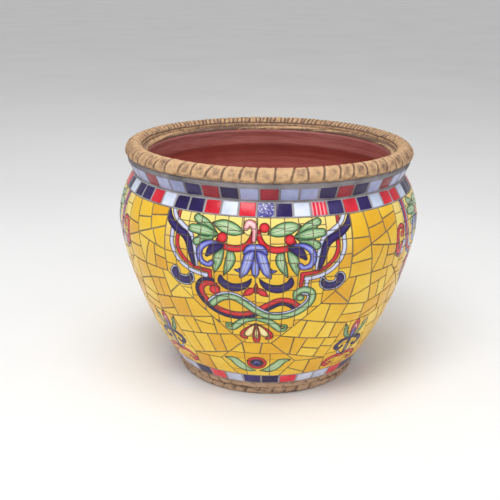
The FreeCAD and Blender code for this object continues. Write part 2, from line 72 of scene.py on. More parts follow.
def wall_at(up, depth):
    """Radius and height at a way up along the wall, counted from where the two arcs meet, and a depth
    under the tile face: the angle on an arc is the way divided by the arc's radius."""
    upper = up > 0
    arc = np.where(upper, BELLY_ARC, FLANK_ARC)
    angle = up / arc - FLANK_TURN
    radius = np.where(upper, BELLY_X, FLANK_X) + (arc - depth) * np.cos(angle)
    height = np.where(upper, BELLY_Z, FLANK_Z) + (arc - depth) * np.sin(angle)
    return radius, height


def wall_up(height):
    """Way up along the wall to a height of the tile face: the inverse of wall_at at no depth."""
    upper = np.asarray(height) > TURN_Z
    arc = np.where(upper, BELLY_ARC, FLANK_ARC)
    centre = np.where(upper, BELLY_Z, FLANK_Z)
    return (np.arcsin((height - centre) / arc) + FLANK_TURN) * arc


def wall_places(points):
    """Angle round the pot, way up and depth of points near the wall."""
    radius = np.hypot(points[:, 0], points[:, 1])
    turn = np.arctan2(points[:, 0], -points[:, 1])
    upper = np.arctan2(points[:, 2] - BELLY_Z, radius - BELLY_X) > -FLANK_TURN
    arc = np.where(upper, BELLY_ARC, FLANK_ARC)
    across = radius - np.where(upper, BELLY_X, FLANK_X)
    above = points[:, 2] - np.where(upper, BELLY_Z, FLANK_Z)
    up = (np.arctan2(above, across) + FLANK_TURN) * arc
    return turn, up, arc - np.hypot(across, above)


FOOT_UP, BAND_UP = float(wall_up(FOOT_Z)), float(wall_up(FOOT_BAND_TOP))
TOP_UP, CREASE_UP = float(wall_up(FIELD_TOP)), float(wall_up(CREASE_Z))
CREASE_RADIUS = float(wall_at(CREASE_UP, 0)[0])
INSIDE_DEPTH = CLAY_DEPTH + WALL
MOUTH_RADIUS = BELLY_X + math.sqrt((BELLY_ARC - INSIDE_DEPTH) ** 2 - (CREASE_Z - BELLY_Z) ** 2)
NECK_LENGTH = (NECK_TOP - CREASE_Z) / math.cos(NECK_FLARE)
COLLAR_RADIUS = CREASE_RADIUS + (NECK_TOP - CREASE_Z) * math.tan(NECK_FLARE)


def neck_at(up, depth):
    """Radius and height on the neck, a straight flare from the crease: the depth goes in and up."""
    radius = CREASE_RADIUS + up * math.sin(NECK_FLARE) - depth * math.cos(NECK_FLARE)
    height = CREASE_Z + up * math.cos(NECK_FLARE) + depth * math.sin(NECK_FLARE)
    return radius, height


def neck_places(points):
    """Angle round the pot, way up and depth of points near the neck."""
    across = np.hypot(points[:, 0], points[:, 1]) - CREASE_RADIUS
    above = points[:, 2] - CREASE_Z
    turn = np.arctan2(points[:, 0], -points[:, 1])
    up = above * math.cos(NECK_FLARE) + across * math.sin(NECK_FLARE)
    return turn, up, above * math.sin(NECK_FLARE) - across * math.cos(NECK_FLARE)


Skin = namedtuple("Skin", "at places")
wall_skin = Skin(wall_at, wall_places)
neck_skin = Skin(neck_at, neck_places)


def round_pot(turn, radius, height):
    """Points at an angle from the front, positive to the right, with a radius and a height."""
    return np.stack(np.broadcast_arrays(radius * np.sin(turn), -radius * np.cos(turn), height), axis=-1)


def new_piece(name, points, faces, finish, nodes, values=None, flat=None):
    """Puts points and faces into a mesh, with its finish, its values at points and its flat map."""
    mesh = bpy.data.meshes.new(name)
    mesh.from_pydata(points.reshape(-1, 3), [], faces)
    mesh.polygons.foreach_set("use_smooth", np.ones(len(mesh.polygons), bool))
    for label, value in (values or {}).items():
        attribute = mesh.attributes.new(label, "FLOAT", "POINT")
        attribute.data.foreach_set("value", value.ravel().astype(np.float32))
    if flat is not None:
        corner = np.empty(len(mesh.loops), np.int32)
        mesh.loops.foreach_get("vertex_index", corner)
        layer = mesh.uv_layers.new(name="OFBake")
        layer.data.foreach_set("uv", flat.reshape(-1, 2)[corner].ravel().astype(np.float32))
    mesh.materials.append(finish)
    piece = bpy.data.objects.new(name, mesh)
    bpy.context.scene.collection.objects.link(piece)
    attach(piece, "root")
    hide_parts(*nodes)
    return piece


def grid_faces(rows, columns, close_rows=False):
    """Quads of a grid whose columns go once round and meet; the rows meet too where asked."""
    row = np.arange(rows if close_rows else rows - 1)[:, None]
    column = np.arange(columns)[None]
    after_row = (row + 1) % rows
    after_column = (column + 1) % columns
    corners = [row * columns + column, row * columns + after_column,
               after_row * columns + after_column, after_row * columns + column]
    return np.stack([c.ravel() for c in corners], axis=1)


# Tiles laid from the outlines of the solids

WELD = 0.01 * MM
FACE_DEPTH = 0.4 * MM
SHORTEST_SIDE = 1.5 * MM
SAME_SIDE = math.radians(7)
CORNER_CUT = 0.55 * MM
LARGEST_CUT = 0.3
ROUNDING = 1e-13


def solids_of(node):
    """Corner points of each separate solid of a node: equal corners are welded, and the lowest number
    among a triangle's corners spreads until each solid has one number."""
    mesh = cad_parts[node].data
    places = np.empty(3 * len(mesh.vertices))
    mesh.vertices.foreach_get("co", places)
    corners = np.empty(len(mesh.loops), np.int32)
    mesh.loops.foreach_get("vertex_index", corners)
    welded, index = np.unique(np.round(places.reshape(-1, 3) / WELD), axis=0, return_inverse=True)
    triangles = index.reshape(-1)[corners].reshape(-1, 3)
    number = np.arange(len(welded))
    settled = False
    while not settled:
        spread = number.copy()
        np.minimum.at(spread, triangles.ravel(), np.repeat(number[triangles].min(axis=1), 3))
        settled = bool((spread == number).all())
        number = spread
    return [welded[number == n] * WELD for n in np.unique(number)]


def straight_sides(points):
    """Outward normals and offsets of the sides round flat points: two points make an edge where no other
    lies before their line, edges that turn little from one to the next make one side, and the side's
    line touches the points that reach out most."""
    step = points[None] - points[:, None]
    normal = np.stack([step[..., 1], -step[..., 0]], axis=-1)
    reach = np.einsum("ijk,mk->ijm", normal, points).max(axis=2) - (normal * points[:, None]).sum(axis=-1)
    edge = normal[(reach <= ROUNDING) & (np.hypot(step[..., 0], step[..., 1]) > 0)]
    angle = np.arctan2(edge[:, 1], edge[:, 0])
    order = np.argsort(angle)
    group = np.concatenate([[0], np.cumsum(np.diff(angle[order]) > SAME_SIDE)])
    if angle[order[0]] + 2 * math.pi - angle[order[-1]] < SAME_SIDE:
        group[group == group[-1]] = 0
    side = np.array([edge[order[group == number]].sum(axis=0) for number in np.unique(group)])
    length = np.hypot(*side.T)
    side = (side / length[:, None])[length > SHORTEST_SIDE]
    side = side[np.argsort(np.arctan2(side[:, 1], side[:, 0]))]
    return side, (side @ points.T).max(axis=1)


def outline_points(points, count, spread):
    """A number of points round a tile's outline, each one's distance from the middle to its side, and the
    middle, which is the sides' own: neighbouring sides meet in corners, and each side is divided by its
    length with its ends cut short."""
    normal, offset = straight_sides(points)
    offset = offset + spread
    after = np.roll(normal, -1, axis=0)
    after_offset = np.roll(offset, -1)
    cross = normal[:, 0] * after[:, 1] - normal[:, 1] * after[:, 0]
    end = np.stack([offset * after[:, 1] - after_offset * normal[:, 1],
                    after_offset * normal[:, 0] - offset * after[:, 0]], axis=1) / cross[:, None]
    start = np.roll(end, 1, axis=0)
    length = np.hypot(*(end - start).T)
    middle = ((start + end) / 2 * length[:, None]).sum(axis=0) / length.sum()
    share = np.maximum(2, np.floor(count * length / length.sum()).astype(int))
    share[np.argmax(length)] += count - share.sum()
    cut = np.minimum(LARGEST_CUT, CORNER_CUT / length)
    steps = [np.linspace(c, 1 - c, n) for c, n in zip(cut, share)]
    line = [s + t[:, None] * (e - s) for s, e, t in zip(start, end, steps)]
    return np.concatenate(line) - middle, np.repeat(offset - normal @ middle, share), middle


Tiling = namedtuple("Tiling", "turn up depth uv tone edge faces")

# Rounded edge of a tile: how far each ring lies in from the side and down from the face, in millimetres
EDGE_IN = np.array([1.1, 0.45, 0.1, 0.0, 0.0])
EDGE_DOWN = np.array([0.0, 0.06, 0.3, 0.75, 2.6])
EDGE_UV = np.array([0.0, 0.0, 0.0, 0.15, 0.45])
CROWN = 0.14 * MM
SEAT_PLAY = 0.14 * MM
TILT_DROP = 0.11 * MM
MAP_MARGIN = 0.01


def tile_rows(first, rings, last):
    """Values of each tile in one row: its middle point, its rings one after another and its point below."""
    rows = np.moveaxis(rings, 1, 0)
    rows = rows.reshape(len(rows), -1, *rings.shape[3:])
    ends = [np.broadcast_to(end, rows[:, :1].shape) for end in (first, last)]
    return np.concatenate([ends[0], rows, ends[1]], axis=1)


def tiling(outlines, skin, fineness, spread):
    """All tiles of a set as rings that shrink to a middle point: a ring is the outline times a factor,
    its depth the crown times the factor squared plus the rounded edge, the seat and the tilt. The tiles
    are spread a little to narrow their joints."""
    count, face_rings = fineness
    middles = np.array([o.mean(axis=0) for o in outlines])
    radius = skin.at(middles[:, 1], 0)[0]
    scale = np.stack([radius, np.ones(len(middles))], axis=1)
    rounds = [outline_points((o - m) * s, count, spread) for o, m, s in zip(outlines, middles, scale)]
    middles = middles + np.array([r[2] for r in rounds]) / scale
    line = np.array([r[0] for r in rounds])
    reach = np.array([r[1] for r in rounds])
    share = np.arange(1, face_rings) / face_rings
    rim = 1 - EDGE_IN[:, None, None] * MM / reach
    factor = np.concatenate([share[:, None, None] * rim[0], rim])
    down = np.concatenate([np.zeros(face_rings - 1), EDGE_DOWN * MM])[:, None, None]
    wide = np.concatenate([np.zeros(face_rings - 1), EDGE_UV * MM])[:, None, None] / reach
    tiles = len(outlines)
    farthest = np.hypot(line[..., 0], line[..., 1]).max(axis=1)
    tilt = chance.normal(0, TILT_DROP, (tiles, 1, 2)) / farthest[:, None, None]
    seat = chance.uniform(-1, 1, (tiles, 1)) * SEAT_PLAY
    place = factor[..., None] * line
    depth = down + CROWN * np.minimum(factor, 1) ** 2 + seat + (place * tilt).sum(axis=-1)
    flat = tile_rows(0.0, place, 0.0)
    depth = tile_rows(seat, depth, EDGE_DOWN[-1] * MM)
    uv = tile_rows(0.0, (factor + wide)[..., None] * line, 0.0)
    edge = tile_rows(reach.mean(axis=1, keepdims=True), (1 - factor) * reach, 0.0)
    tone = np.broadcast_to(chance.uniform(0, 1, (tiles, 1)), edge.shape)
    turn = middles[:, :1] + flat[..., 0] / scale[:, :1]
    up = middles[:, 1:] + flat[..., 1]
    uv = uv + middles[:, None] * scale[:, None]
    return Tiling(turn, up, depth, uv, tone, edge / MM, tiling_faces(tiles, count, len(factor)))


def tiling_faces(tiles, count, rings):
    """Faces of one tile, a fan, rings of quads and a fan below, repeated for each tile."""
    column = np.arange(count)
    after = (column + 1) % count
    last = rings * count + 1
    fan = np.stack([np.zeros(count, int), 1 + column, 1 + after], axis=1)
    below = np.stack([np.full(count, last), last - count + after, last - count + column], axis=1)
    quads = 1 + grid_faces(rings, count)[:, ::-1]
    shift = np.arange(tiles)[:, None, None] * (last + 1)
    every = [(part[None] + shift).reshape(-1, part.shape[1]).tolist() for part in (fan, quads, below)]
    return every[0] + every[1] + every[2]


def face_outlines(node, skin, axis=0.0):
    """Corner points on the face of each tile of a node, as angle from an axis and way up."""
    found = []
    for points in solids_of(node):
        turn, up, depth = skin.places(points)
        face = depth < FACE_DEPTH
        turn = (turn[face] - axis + math.pi) % (2 * math.pi) - math.pi
        if turn.max() - turn.min() > math.pi:
            turn = turn % (2 * math.pi)
        found.append(np.stack([turn, up[face]], axis=1))
    return found


def lay(name, tiles, skin, finish, nodes, axis=0.0, paint=None, mapped=False):
    """A set of tiles on its skin, turned to its axis, with its values for the glaze."""
    radius, height = skin.at(tiles.up, tiles.depth)
    points = round_pot(tiles.turn + axis, radius, height)
    values = {"tone": tiles.tone, "edge": tiles.edge}
    values.update(paint or {})
    flat = None
    if mapped:
        low = tiles.uv.min(axis=(0, 1))
        size = (tiles.uv.max(axis=(0, 1)) - low).max()
        flat = MAP_MARGIN + (1 - 2 * MAP_MARGIN) * (tiles.uv - low) / size
    return new_piece(name, points, tiles.faces, finish, nodes, values, flat)


# Painting: each colour keeps the signed distance to its shapes, in millimetres, below nothing inside

FAR = 12.0
TINY = 1e-9
COLOURS = ["white", "navy", "red", "green", "violet", "pink", "cream"]


def smooth_path(points, count=72):
    """Catmull-Rom curve through points: each stretch blends its four nearest points by cubic weights."""
    points = np.asarray(points, float)
    padded = np.concatenate([[2 * points[0] - points[1]], points, [2 * points[-1] - points[-2]]])
    place = np.linspace(0, len(points) - 1, count)
    index = np.minimum(place.astype(int), len(points) - 2)
    t = (place - index)[:, None]
    a, b, c, d = (padded[index + k] for k in range(4))
    return 0.5 * (2 * b + (c - a) * t + (2 * a - 5 * b + 4 * c - d) * t ** 2
                  + (3 * b - a - 3 * c + d) * t ** 3)


class Painting:
    """Shapes brushed one over another on a flat picture whose x is the angle times a radius and whose y
    is the way up the wall. The vein field is the distance to a leaf's middle line, signed by its side."""

    def __init__(self, turn, up, radius):
        self.radius = radius
        self.x = turn.ravel() * radius / MM
        self.y = up.ravel() / MM
        self.fields = {colour: np.full(self.x.size, FAR) for colour in COLOURS + ["vein"]}

    def flat(self, points):
        """Angle in degrees and height in millimetres to picture places; further columns stay."""
        points = np.asarray(points, float)
        x = np.radians(points[:, :1]) * self.radius / MM
        y = wall_up(points[:, 1:2] * MM) / MM
        return np.concatenate([x, y, points[:, 2:]], axis=1)

    def brush(self, colour, path, apart, veined):
        """A stroke along a path of x, y and half width: the distance to the nearest stretch less its
        half width there. It covers what lies below; apart parts it from its own colour too."""
        left, low = path[:, :2].min(axis=0) - FAR - path[:, 2].max()
        right, high = path[:, :2].max(axis=0) + FAR + path[:, 2].max()
        near = np.flatnonzero((self.x > left) & (self.x < right) & (self.y > low) & (self.y < high))
        start, step = path[:-1], np.diff(path, axis=0)
        across = self.x[near, None] - start[:, 0]
        above = self.y[near, None] - start[:, 1]
        square = np.maximum((step[:, :2] ** 2).sum(axis=1), TINY)
        t = np.clip((across * step[:, 0] + above * step[:, 1]) / square, 0, 1)
        gap = np.hypot(across - t * step[:, 0], above - t * step[:, 1]) - start[:, 2] - t * step[:, 2]
        nearest = gap.argmin(axis=1)
        row = np.arange(len(near))
        gap = gap[row, nearest]
        for name, field in self.fields.items():
            if apart or name != colour:
                field[near] = np.maximum(field[near], -gap)
        self.fields[colour][near] = np.minimum(self.fields[colour][near], gap)
        if veined:
            side = step[nearest, 0] * above[row, nearest] - step[nearest, 1] * across[row, nearest]
            inside = gap < 0
            self.fields["vein"][near[inside]] = (side / np.sqrt(square[nearest]))[inside]

    def once(self, colour, points, side=1, aside=0.0, apart=True, veined=False):
        """A brush stroke through points of angle, height and half width, on the side that they give or
        the other; aside moves it to the right of its way."""
        path = smooth_path(self.flat(np.asarray(points, float) * np.array([side, 1, 1])))
        if aside:
            along = np.gradient(path[:, :2], axis=0)
            along /= np.maximum(np.hypot(*along.T), TINY)[:, None]
            path[:, :2] += side * aside * np.stack([along[:, 1], -along[:, 0]], axis=1)
        self.brush(colour, path, apart, veined)

    def pair(self, colour, points, **how):
        """A brush stroke and its mirror image."""
        for side in (1, -1):
            self.once(colour, points, side, **how)

    def values(self, shape):
        return {f"paint_{colour}": field.reshape(shape) for colour, field in self.fields.items()}


def bands(half, points):
    """The same half width at every point."""
    return [(angle, height, half) for angle, height in points]


def dot(angle, height, half):
    """A stroke so short that it is a round spot."""
    return [(angle, height, half), (angle, height + 0.1, half)]


def paint_straps(picture):
    """Crossing straps of the front: white and red, then navy and white over them, and a navy comma."""
    picture.pair("white", bands(2.9, [(30.2, 262), (30.4, 252), (30.4, 240), (29.3, 228), (27, 216.5),
                                      (23.5, 208), (19.8, 204.2), (17.2, 203.4)]))
    picture.pair("white", bands(2.6, [(17.6, 204), (17.6, 198), (17.5, 192)]), apart=False)
    picture.pair("red", bands(2.7, [(28.7, 286), (28.6, 264), (28, 252), (28, 240), (26.8, 228.5),
                                    (24, 217.8), (20.5, 212), (15.8, 210)]))
    picture.pair("red", bands(2.5, [(15.9, 210), (15.8, 203), (15.6, 193)]), apart=False)
    picture.pair("white", [(32.1, 286, 2.8), (29.5, 272, 2.9), (25.9, 263.5, 3), (23, 257, 2.7),
                           (21.5, 245, 2.4), (20.7, 230, 2.2), (20.4, 215, 1.5)])
    picture.pair("navy", [(35.3, 286, 4.6), (32.2, 269, 4.6), (28.6, 259, 4.8), (25.3, 253.5, 5.2),
                          (23.6, 246, 4.8), (22.8, 235, 4.1), (22, 223, 3.2), (21.6, 214, 1)])
    comma = np.array([(29.6, 202.5, 4), (30, 197, 5.6), (28.8, 191.6, 5), (26, 190, 4.8), (23.9, 194, 3.6),
                      (23.2, 200.5, 1.2)])
    picture.pair("white", comma + [0, 0, 2.4])
    picture.pair("navy", comma)


def paint_side_straps(picture):
    """Straps of the side panels: red scrolls with white edges beyond white, red and violet bands."""
    hook = [(29, 239), (29.2, 246.5), (31.2, 249.5), (32.8, 244), (33, 230), (32.4, 218), (30.4, 209.5)]
    picture.pair("white", bands(4.6, hook[4:] + [(28.6, 213), (28.2, 224)]))
    picture.pair("red", bands(3.3, hook))
    picture.pair("red", dot(30, 238.5, 4.6), apart=False)
    picture.pair("red", [(28.9, 225, 1.6), (30, 220.5, 4), (30.2, 213, 3)], apart=False)
    band = [(26.6, 286), (26.2, 262), (25.6, 240), (24.4, 222), (21.6, 210), (17.2, 204)]
    picture.pair("white", bands(2.5, band), aside=3.6)
    picture.pair("violet", bands(2.3, band), aside=-3.8)
    picture.pair("red", bands(2.6, band))


def paint_scrolls(picture):
    """Red and navy scroll from the left spiral, and the green and white one from the right over it."""
    scroll = [(-13.6, 186.5), (-15.4, 191.5), (-18.3, 190.3), (-19.8, 182), (-19.2, 172), (-17, 162),
              (-13.5, 154), (-9, 149.8), (-5, 149.8), (-1.5, 153.2), (1.5, 159.2), (4.5, 166), (7.5, 171.8),
              (10.5, 172.8), (13, 169.5), (15.3, 163)]
    picture.once("navy", bands(3.6, scroll[1:]), aside=5)
    picture.once("red", bands(3.8, scroll))
    picture.once("red", dot(-14.6, 182.6, 7))
    scroll = [(14.4, 177), (14.5, 184), (17, 187.6), (19.5, 184), (20.3, 176), (19.5, 167), (17.5, 159),
              (14.5, 152), (10.5, 147.6), (6, 147), (2.5, 150.5), (-1, 158), (-4.5, 168), (-8, 174.5),
              (-11.5, 173.5), (-14.5, 167), (-16.3, 161)]
    picture.once("white", bands(2.5, scroll[1:]), aside=5.3)
    picture.once("green", bands(4.6, scroll))
    picture.once("green", dot(15.8, 175.5, 5.2))


def paint_leaves(picture):
    """Leaf fans, long leaves and hanging leaves, with the red swags and balls between them."""
    for middle, tip in (((17, 253.6, 6), (20.4, 247, 5)), ((17.4, 269, 6.2), (21, 275.5, 5)),
                        ((18.2, 261.6, 6.2), (22.4, 262.6, 5.2))):
        picture.pair("green", [(13.2, 259, 1.8), middle, tip], veined=True)
    for leaf in ([(4.2, 263, 1.2), (7.4, 266, 7.2), (11, 269.4, 7.8), (15, 272, 0.8)],
                 [(8.6, 243, 1.8), (8.2, 231, 5.8), (9.2, 219, 4.8), (10.9, 206, 0.5)],
                 [(10.8, 243, 1.8), (12.5, 230, 6), (13.4, 219, 4.8), (14.2, 208, 0.5)]):
        picture.pair("green", leaf, veined=True)
    picture.once("cream", [(-1.9, 285, 8.4), (-1.9, 268, 8.4)])
    picture.pair("red", [(12.5, 252, 3.2), (10.9, 245.6, 3.8), (6.6, 243.2, 4.2), (3.2, 247, 3.9),
                         (1.4, 256, 3.3), (0.8, 265, 2.4)])
    picture.pair("red", dot(11.2, 255.6, 6.3))
    picture.once("red", dot(2.8, 269.6, 6))
    picture.once("pink", [(-0.6, 254.5, 2.8), (-0.4, 264, 3.2), (-0.8, 272, 4.2), (-2.6, 274.4, 4.2),
                          (-3.4, 268.6, 3)])


def paint_bell(picture):
    """Hanging violet bell with navy curls at its sides, crescents below and a red trefoil."""
    picture.once("violet", [(0, 240, 2), (0, 226, 4.2), (0, 213, 4.4), (0, 207, 1.2)])
    picture.pair("violet", [(3.6, 219, 3.6), (5.4, 214.6, 2.6), (7, 215.4, 0.5)])
    petal = [(0.5, 246, 2), (1.9, 237, 5.6), (2.7, 226, 6), (3.8, 214, 5.2), (5, 205.6, 1.6)]
    picture.pair("violet", petal, veined=True)
    picture.once("violet", [(3.8, 238, 1.4), (1.9, 245, 4), (-1.9, 245, 4), (-3.8, 238, 1.4)])
    picture.pair("navy", [(11.6, 245.6, 3.4), (14.3, 240.5, 5.8), (16.6, 231, 1.8)])
    picture.pair("violet", [(11.9, 248.6, 0.8), (15.6, 248, 3.2), (18.6, 241, 4), (19.3, 231, 4),
                            (18.4, 222, 3.8), (16.1, 218.8, 3.4), (14.9, 222.4, 3.2)])
    picture.pair("navy", [(12, 204, 2), (11.6, 196, 5), (8.4, 189.8, 6), (4.7, 191.6, 5),
                          (2.4, 198, 2.8), (1.4, 204, 0.4)])
    picture.once("red", [(0.2, 184.5, 2.4), (0.2, 191, 2.6), (0.2, 198, 0.5)])
    picture.pair("red", [(0.5, 190, 1), (2.2, 184.6, 4.6), (4.2, 178.8, 1)])


def paint_palmette(picture):
    """Green volutes over a red palmette with pale hearts at the panel's tip."""
    picture.pair("green", [(0.6, 142.5, 2.6), (4.6, 139.2, 4.2), (7.2, 132.5, 5.2), (9.4, 125, 3.4),
                           (11.3, 126.5, 2.4), (11.4, 131.6, 2.2), (9.9, 132.4, 2)])
    picture.pair("cream", [(0, 134, 1.4), (1.6, 126, 5), (3.6, 117, 4.6)])
    picture.pair("red", [(0.5, 134.5, 0.9), (3, 129, 1.3), (5.2, 121, 2.7), (5.6, 114, 4),
                         (4.2, 110.8, 2.4)])
    picture.pair("cream", dot(5.2, 115, 1.4))
    picture.once("red", [(0, 136, 0.6), (0, 122, 4.6), (0, 111, 5.6), (0, 105, 3.6)])
    picture.once("cream", [(0, 130, 0.4), (0, 120, 2.6), (0, 112, 2.2)])


def paint_foot_flower(picture):
    """Red flower with a navy heart between two curling leaves."""
    leaf = [(1.6, 48.6, 1.6), (5.8, 51.4, 6), (8.9, 59, 7.2), (11.5, 67.4, 5.6), (15.4, 69.5, 0.8)]
    picture.pair("green", leaf, veined=True)
    picture.once("red", dot(-0.4, 64, 13.2))
    picture.once("pink", dot(-0.4, 64, 8.6))
    picture.once("navy", dot(-0.4, 64, 7))
    picture.once("violet", [(-2.2, 61, 0.9), (-0.4, 66.5, 2.2), (1.6, 61, 0.9)])


def paint_stem(picture):
    """Bud on a navy stem with green sepals, navy scrolls and red feet."""
    picture.pair("green", [(1, 92, 1.8), (4.2, 101, 3.4), (5.4, 112, 3), (6.4, 120, 0.5)], veined=True)
    picture.once("red", [(0, 93, 2.6), (0, 106, 6.4), (0, 116, 5.4), (0, 123, 1)])
    picture.once("pink", [(0, 97, 1.8), (0, 108, 4), (0, 116, 1.4)])
    picture.once("violet", [(0, 94, 1.6), (0, 102, 3), (0, 109, 0.8)])
    picture.pair("navy", [(1, 91.5, 2.6), (5, 89.5, 3.6), (7.4, 81.5, 3.6), (5.2, 75, 2.8),
                          (3.2, 78.5, 2.2)])
    picture.once("navy", [(0, 90, 3), (0, 76, 3.2), (0, 62, 2.8)])
    picture.once("white", [(0, 84, 0.8), (0, 76, 1.3), (0, 66, 0.8)])
    picture.pair("white", [(4.6, 69, 2), (2, 63, 2)])
    picture.pair("red", [(0.6, 59, 2.4), (4, 61.5, 3.4), (8.4, 58.4, 3.6), (10.4, 51, 3.3), (8, 46, 2.8),
                         (6.2, 49.8, 2.6)])


def paint_inside_panel(picture):
    """What every panel shows between its straps."""
    paint_scrolls(picture)
    paint_leaves(picture)
    paint_bell(picture)
    paint_palmette(picture)


def paint_front_panel(picture):
    paint_straps(picture)
    paint_inside_panel(picture)


def paint_side_panel(picture):
    paint_side_straps(picture)
    paint_inside_panel(picture)


# Finishes

def linear(red, green, blue):
    """Colour of a print, 0 to 255, to the light values that shaders take."""
    value = np.array([red, green, blue]) / 255
    value = np.where(value <= 0.04045, value / 12.92, ((value + 0.055) / 1.055) ** 2.4)
    return tuple(value.tolist()) + (1.0,)


class Finish:
    """Node tree of one finish, with short calls for the nodes that the finishes share."""

    def __init__(self, name):
        self.material = bpy.data.materials.new(name)
        self.material.use_nodes = True
        self.tree = self.material.node_tree
        self.shader = self.tree.nodes["Principled BSDF"]
        self.object = self.node("ShaderNodeTexCoord").outputs["Object"]

    def node(self, kind, inputs=None, **settings):
        """A node with its settings; each input is either a link from a socket or a set value."""
        made = self.tree.nodes.new(kind)
        for key, value in settings.items():
            setattr(made, key, value)
        for key, value in (inputs or {}).items():
            self.put(made.inputs[key], value)
        return made

    def put(self, socket, value):
        if isinstance(value, bpy.types.NodeSocket):
            self.tree.links.new(value, socket)
        else:
            socket.default_value = value

    def set(self, **inputs):
        for key, value in inputs.items():
            self.put(self.shader.inputs[key.replace("_", " ").title().replace("Ior", "IOR")], value)

    def value(self, name):
        return self.node("ShaderNodeAttribute", attribute_name=name).outputs["Fac"]

    def noise(self, scale, detail=4.0, rough=0.55, vector=None):
        inputs = {"Vector": vector or self.object, "Scale": scale, "Detail": detail, "Roughness": rough}
        return self.node("ShaderNodeTexNoise", inputs).outputs["Fac"]

    def place(self, axis):
        return self.node("ShaderNodeSeparateXYZ", {"Vector": self.object}).outputs[axis]

    def math(self, operation, a, b=0.5, c=0.5):
        return self.node("ShaderNodeMath", {0: a, 1: b, 2: c}, operation=operation).outputs[0]

    def plus(self, a, b):
        return self.math("ADD", a, b)

    def times(self, a, b):
        return self.math("MULTIPLY", a, b)

    def span(self, value, low, high, out_low=0.0, out_high=1.0):
        """A value's span carried onto another, held at the ends and eased between them."""
        inputs = {"Value": value, "From Min": low, "From Max": high, "To Min": out_low, "To Max": out_high}
        return self.node("ShaderNodeMapRange", inputs, interpolation_type="SMOOTHSTEP").outputs["Result"]

    def mix(self, share, a, b):
        return self.node("ShaderNodeMix", {0: share, 6: a, 7: b}, data_type="RGBA").outputs[2]

    def tint(self, colour, share, strength, shade):
        """A shade, in print values, laid over a colour by a share times a strength."""
        return self.mix(self.times(share, strength), colour, linear(*shade))

    def ramp(self, value, stops):
        """Colours, in print values, at places along a value."""
        made = self.node("ShaderNodeValToRGB", {"Fac": value})
        points = made.color_ramp.elements
        while len(points) < len(stops):
            points.new(0.5)
        for point, (place, colour) in zip(points, stops):
            point.position = place
            point.color = linear(*colour)
        return made.outputs["Color"]

    def bump(self, height, strength, distance, normal=None):
        inputs = {"Height": height, "Strength": strength, "Distance": distance}
        if normal:
            inputs["Normal"] = normal
        return self.node("ShaderNodeBump", inputs).outputs["Normal"]


def glazed(finish, colour, gloss=0.16):
    """What every glaze shares: dirt along the edge of the tile, worn gloss there, fine waves and pits."""
    grime = finish.noise(160, 5, 0.6)
    border = finish.plus(finish.value("edge"), finish.times(grime, -1.1))
    dirt = finish.span(border, 0.35, -0.75)
    colour = finish.tint(colour, dirt, 0.75, (92, 78, 62))
    waves = finish.noise(38, 2, 0.5)
    pits = finish.span(finish.noise(420, 2, 0.5), 0.36, 0.3)
    normal = finish.bump(waves, 0.12, 0.004)
    normal = finish.bump(pits, 0.25, 0.0004, normal)
    rough = finish.plus(finish.times(finish.noise(70), 0.14), finish.times(dirt, 0.5))
    finish.set(base_color=colour, roughness=finish.plus(rough, gloss), normal=normal)
    finish.set(specular_ior_level=0.32, coat_weight=0.12, coat_roughness=0.1)
    return finish.material


# Heights where the panels' ground starts to pale and is palest
CREAM_FROM = 0.215
CREAM_FULL = 0.28


def yellow_ground(finish, cream=0.0):
    """Yellow that pools deeper in places and differs from tile to tile, cream near the top if asked."""
    cloud = finish.noise(24, 5, 0.6)
    mixed = finish.plus(finish.times(cloud, 0.58), finish.times(finish.value("tone"), 0.42))
    colour = finish.ramp(mixed, [(0.2, (226, 162, 28)), (0.38, (236, 181, 38)), (0.56, (242, 196, 48)),
                                 (0.8, (250, 216, 84))])
    if cream:
        light = finish.span(finish.place("Z"), CREAM_FROM, CREAM_FULL)
        colour = finish.tint(colour, light, cream, (250, 234, 146))
    speck = finish.span(finish.noise(520, 3, 0.6), 0.68, 0.74)
    return finish.tint(colour, speck, 0.35, (168, 110, 28))


def field_glaze():
    """The yellow ground alone, for the tiles of the field."""
    finish = Finish("yellow_glaze")
    return glazed(finish, yellow_ground(finish))


# Each painted colour: deep at its outline, full, and light in the middle of wide strokes
PAINTS = {
    "white": [(160, 164, 200), (208, 212, 238), (228, 230, 246)],
    "navy": [(30, 18, 62), (42, 28, 88), (58, 42, 112)],
    "red": [(150, 22, 34), (212, 38, 50), (228, 66, 70)],
    "green": [(50, 100, 64), (118, 164, 110), (188, 214, 170)],
    "violet": [(52, 46, 130), (104, 108, 206), (178, 186, 238)],
    "pink": [(206, 98, 112), (238, 164, 170), (252, 222, 220)],
    "cream": [(226, 196, 110), (246, 226, 150), (252, 238, 190)],
}
INK_HALF = 0.56
INK_SOFT = 0.15
VEIN_THINNER = 0.3


def painted_glaze():
    """The yellow ground with each colour shown where its distance is below nothing. Ink lies where a
    distance is near nothing, so it follows every outline and every leaf's middle line."""
    finish = Finish("painted_yellow_glaze")
    colour = yellow_ground(finish, 0.7)
    brush = finish.noise(95, 3, 0.6)
    shiver = finish.math("MULTIPLY_ADD", finish.noise(230, 2, 0.5), 0.5, -0.25)
    nearest = finish.plus(finish.math("ABSOLUTE", finish.value("paint_vein")), VEIN_THINNER)
    for name, (deep, full, light) in PAINTS.items():
        gap = finish.value(f"paint_{name}")
        inside = finish.math("MULTIPLY_ADD", brush, 2.6, finish.times(gap, -1.0))
        body = finish.ramp(finish.span(inside, 0.8, 6.4), [(0.0, deep), (0.35, full), (1.0, light)])
        colour = finish.mix(finish.span(gap, INK_SOFT, -INK_SOFT), colour, body)
        nearest = finish.math("MINIMUM", nearest, finish.math("ABSOLUTE", gap))
    ink = finish.span(finish.plus(nearest, shiver), INK_HALF + INK_SOFT, INK_HALF - INK_SOFT)
    return glazed(finish, finish.tint(colour, ink, 0.92, (36, 30, 34)))


STRIPES_ROUND = 250


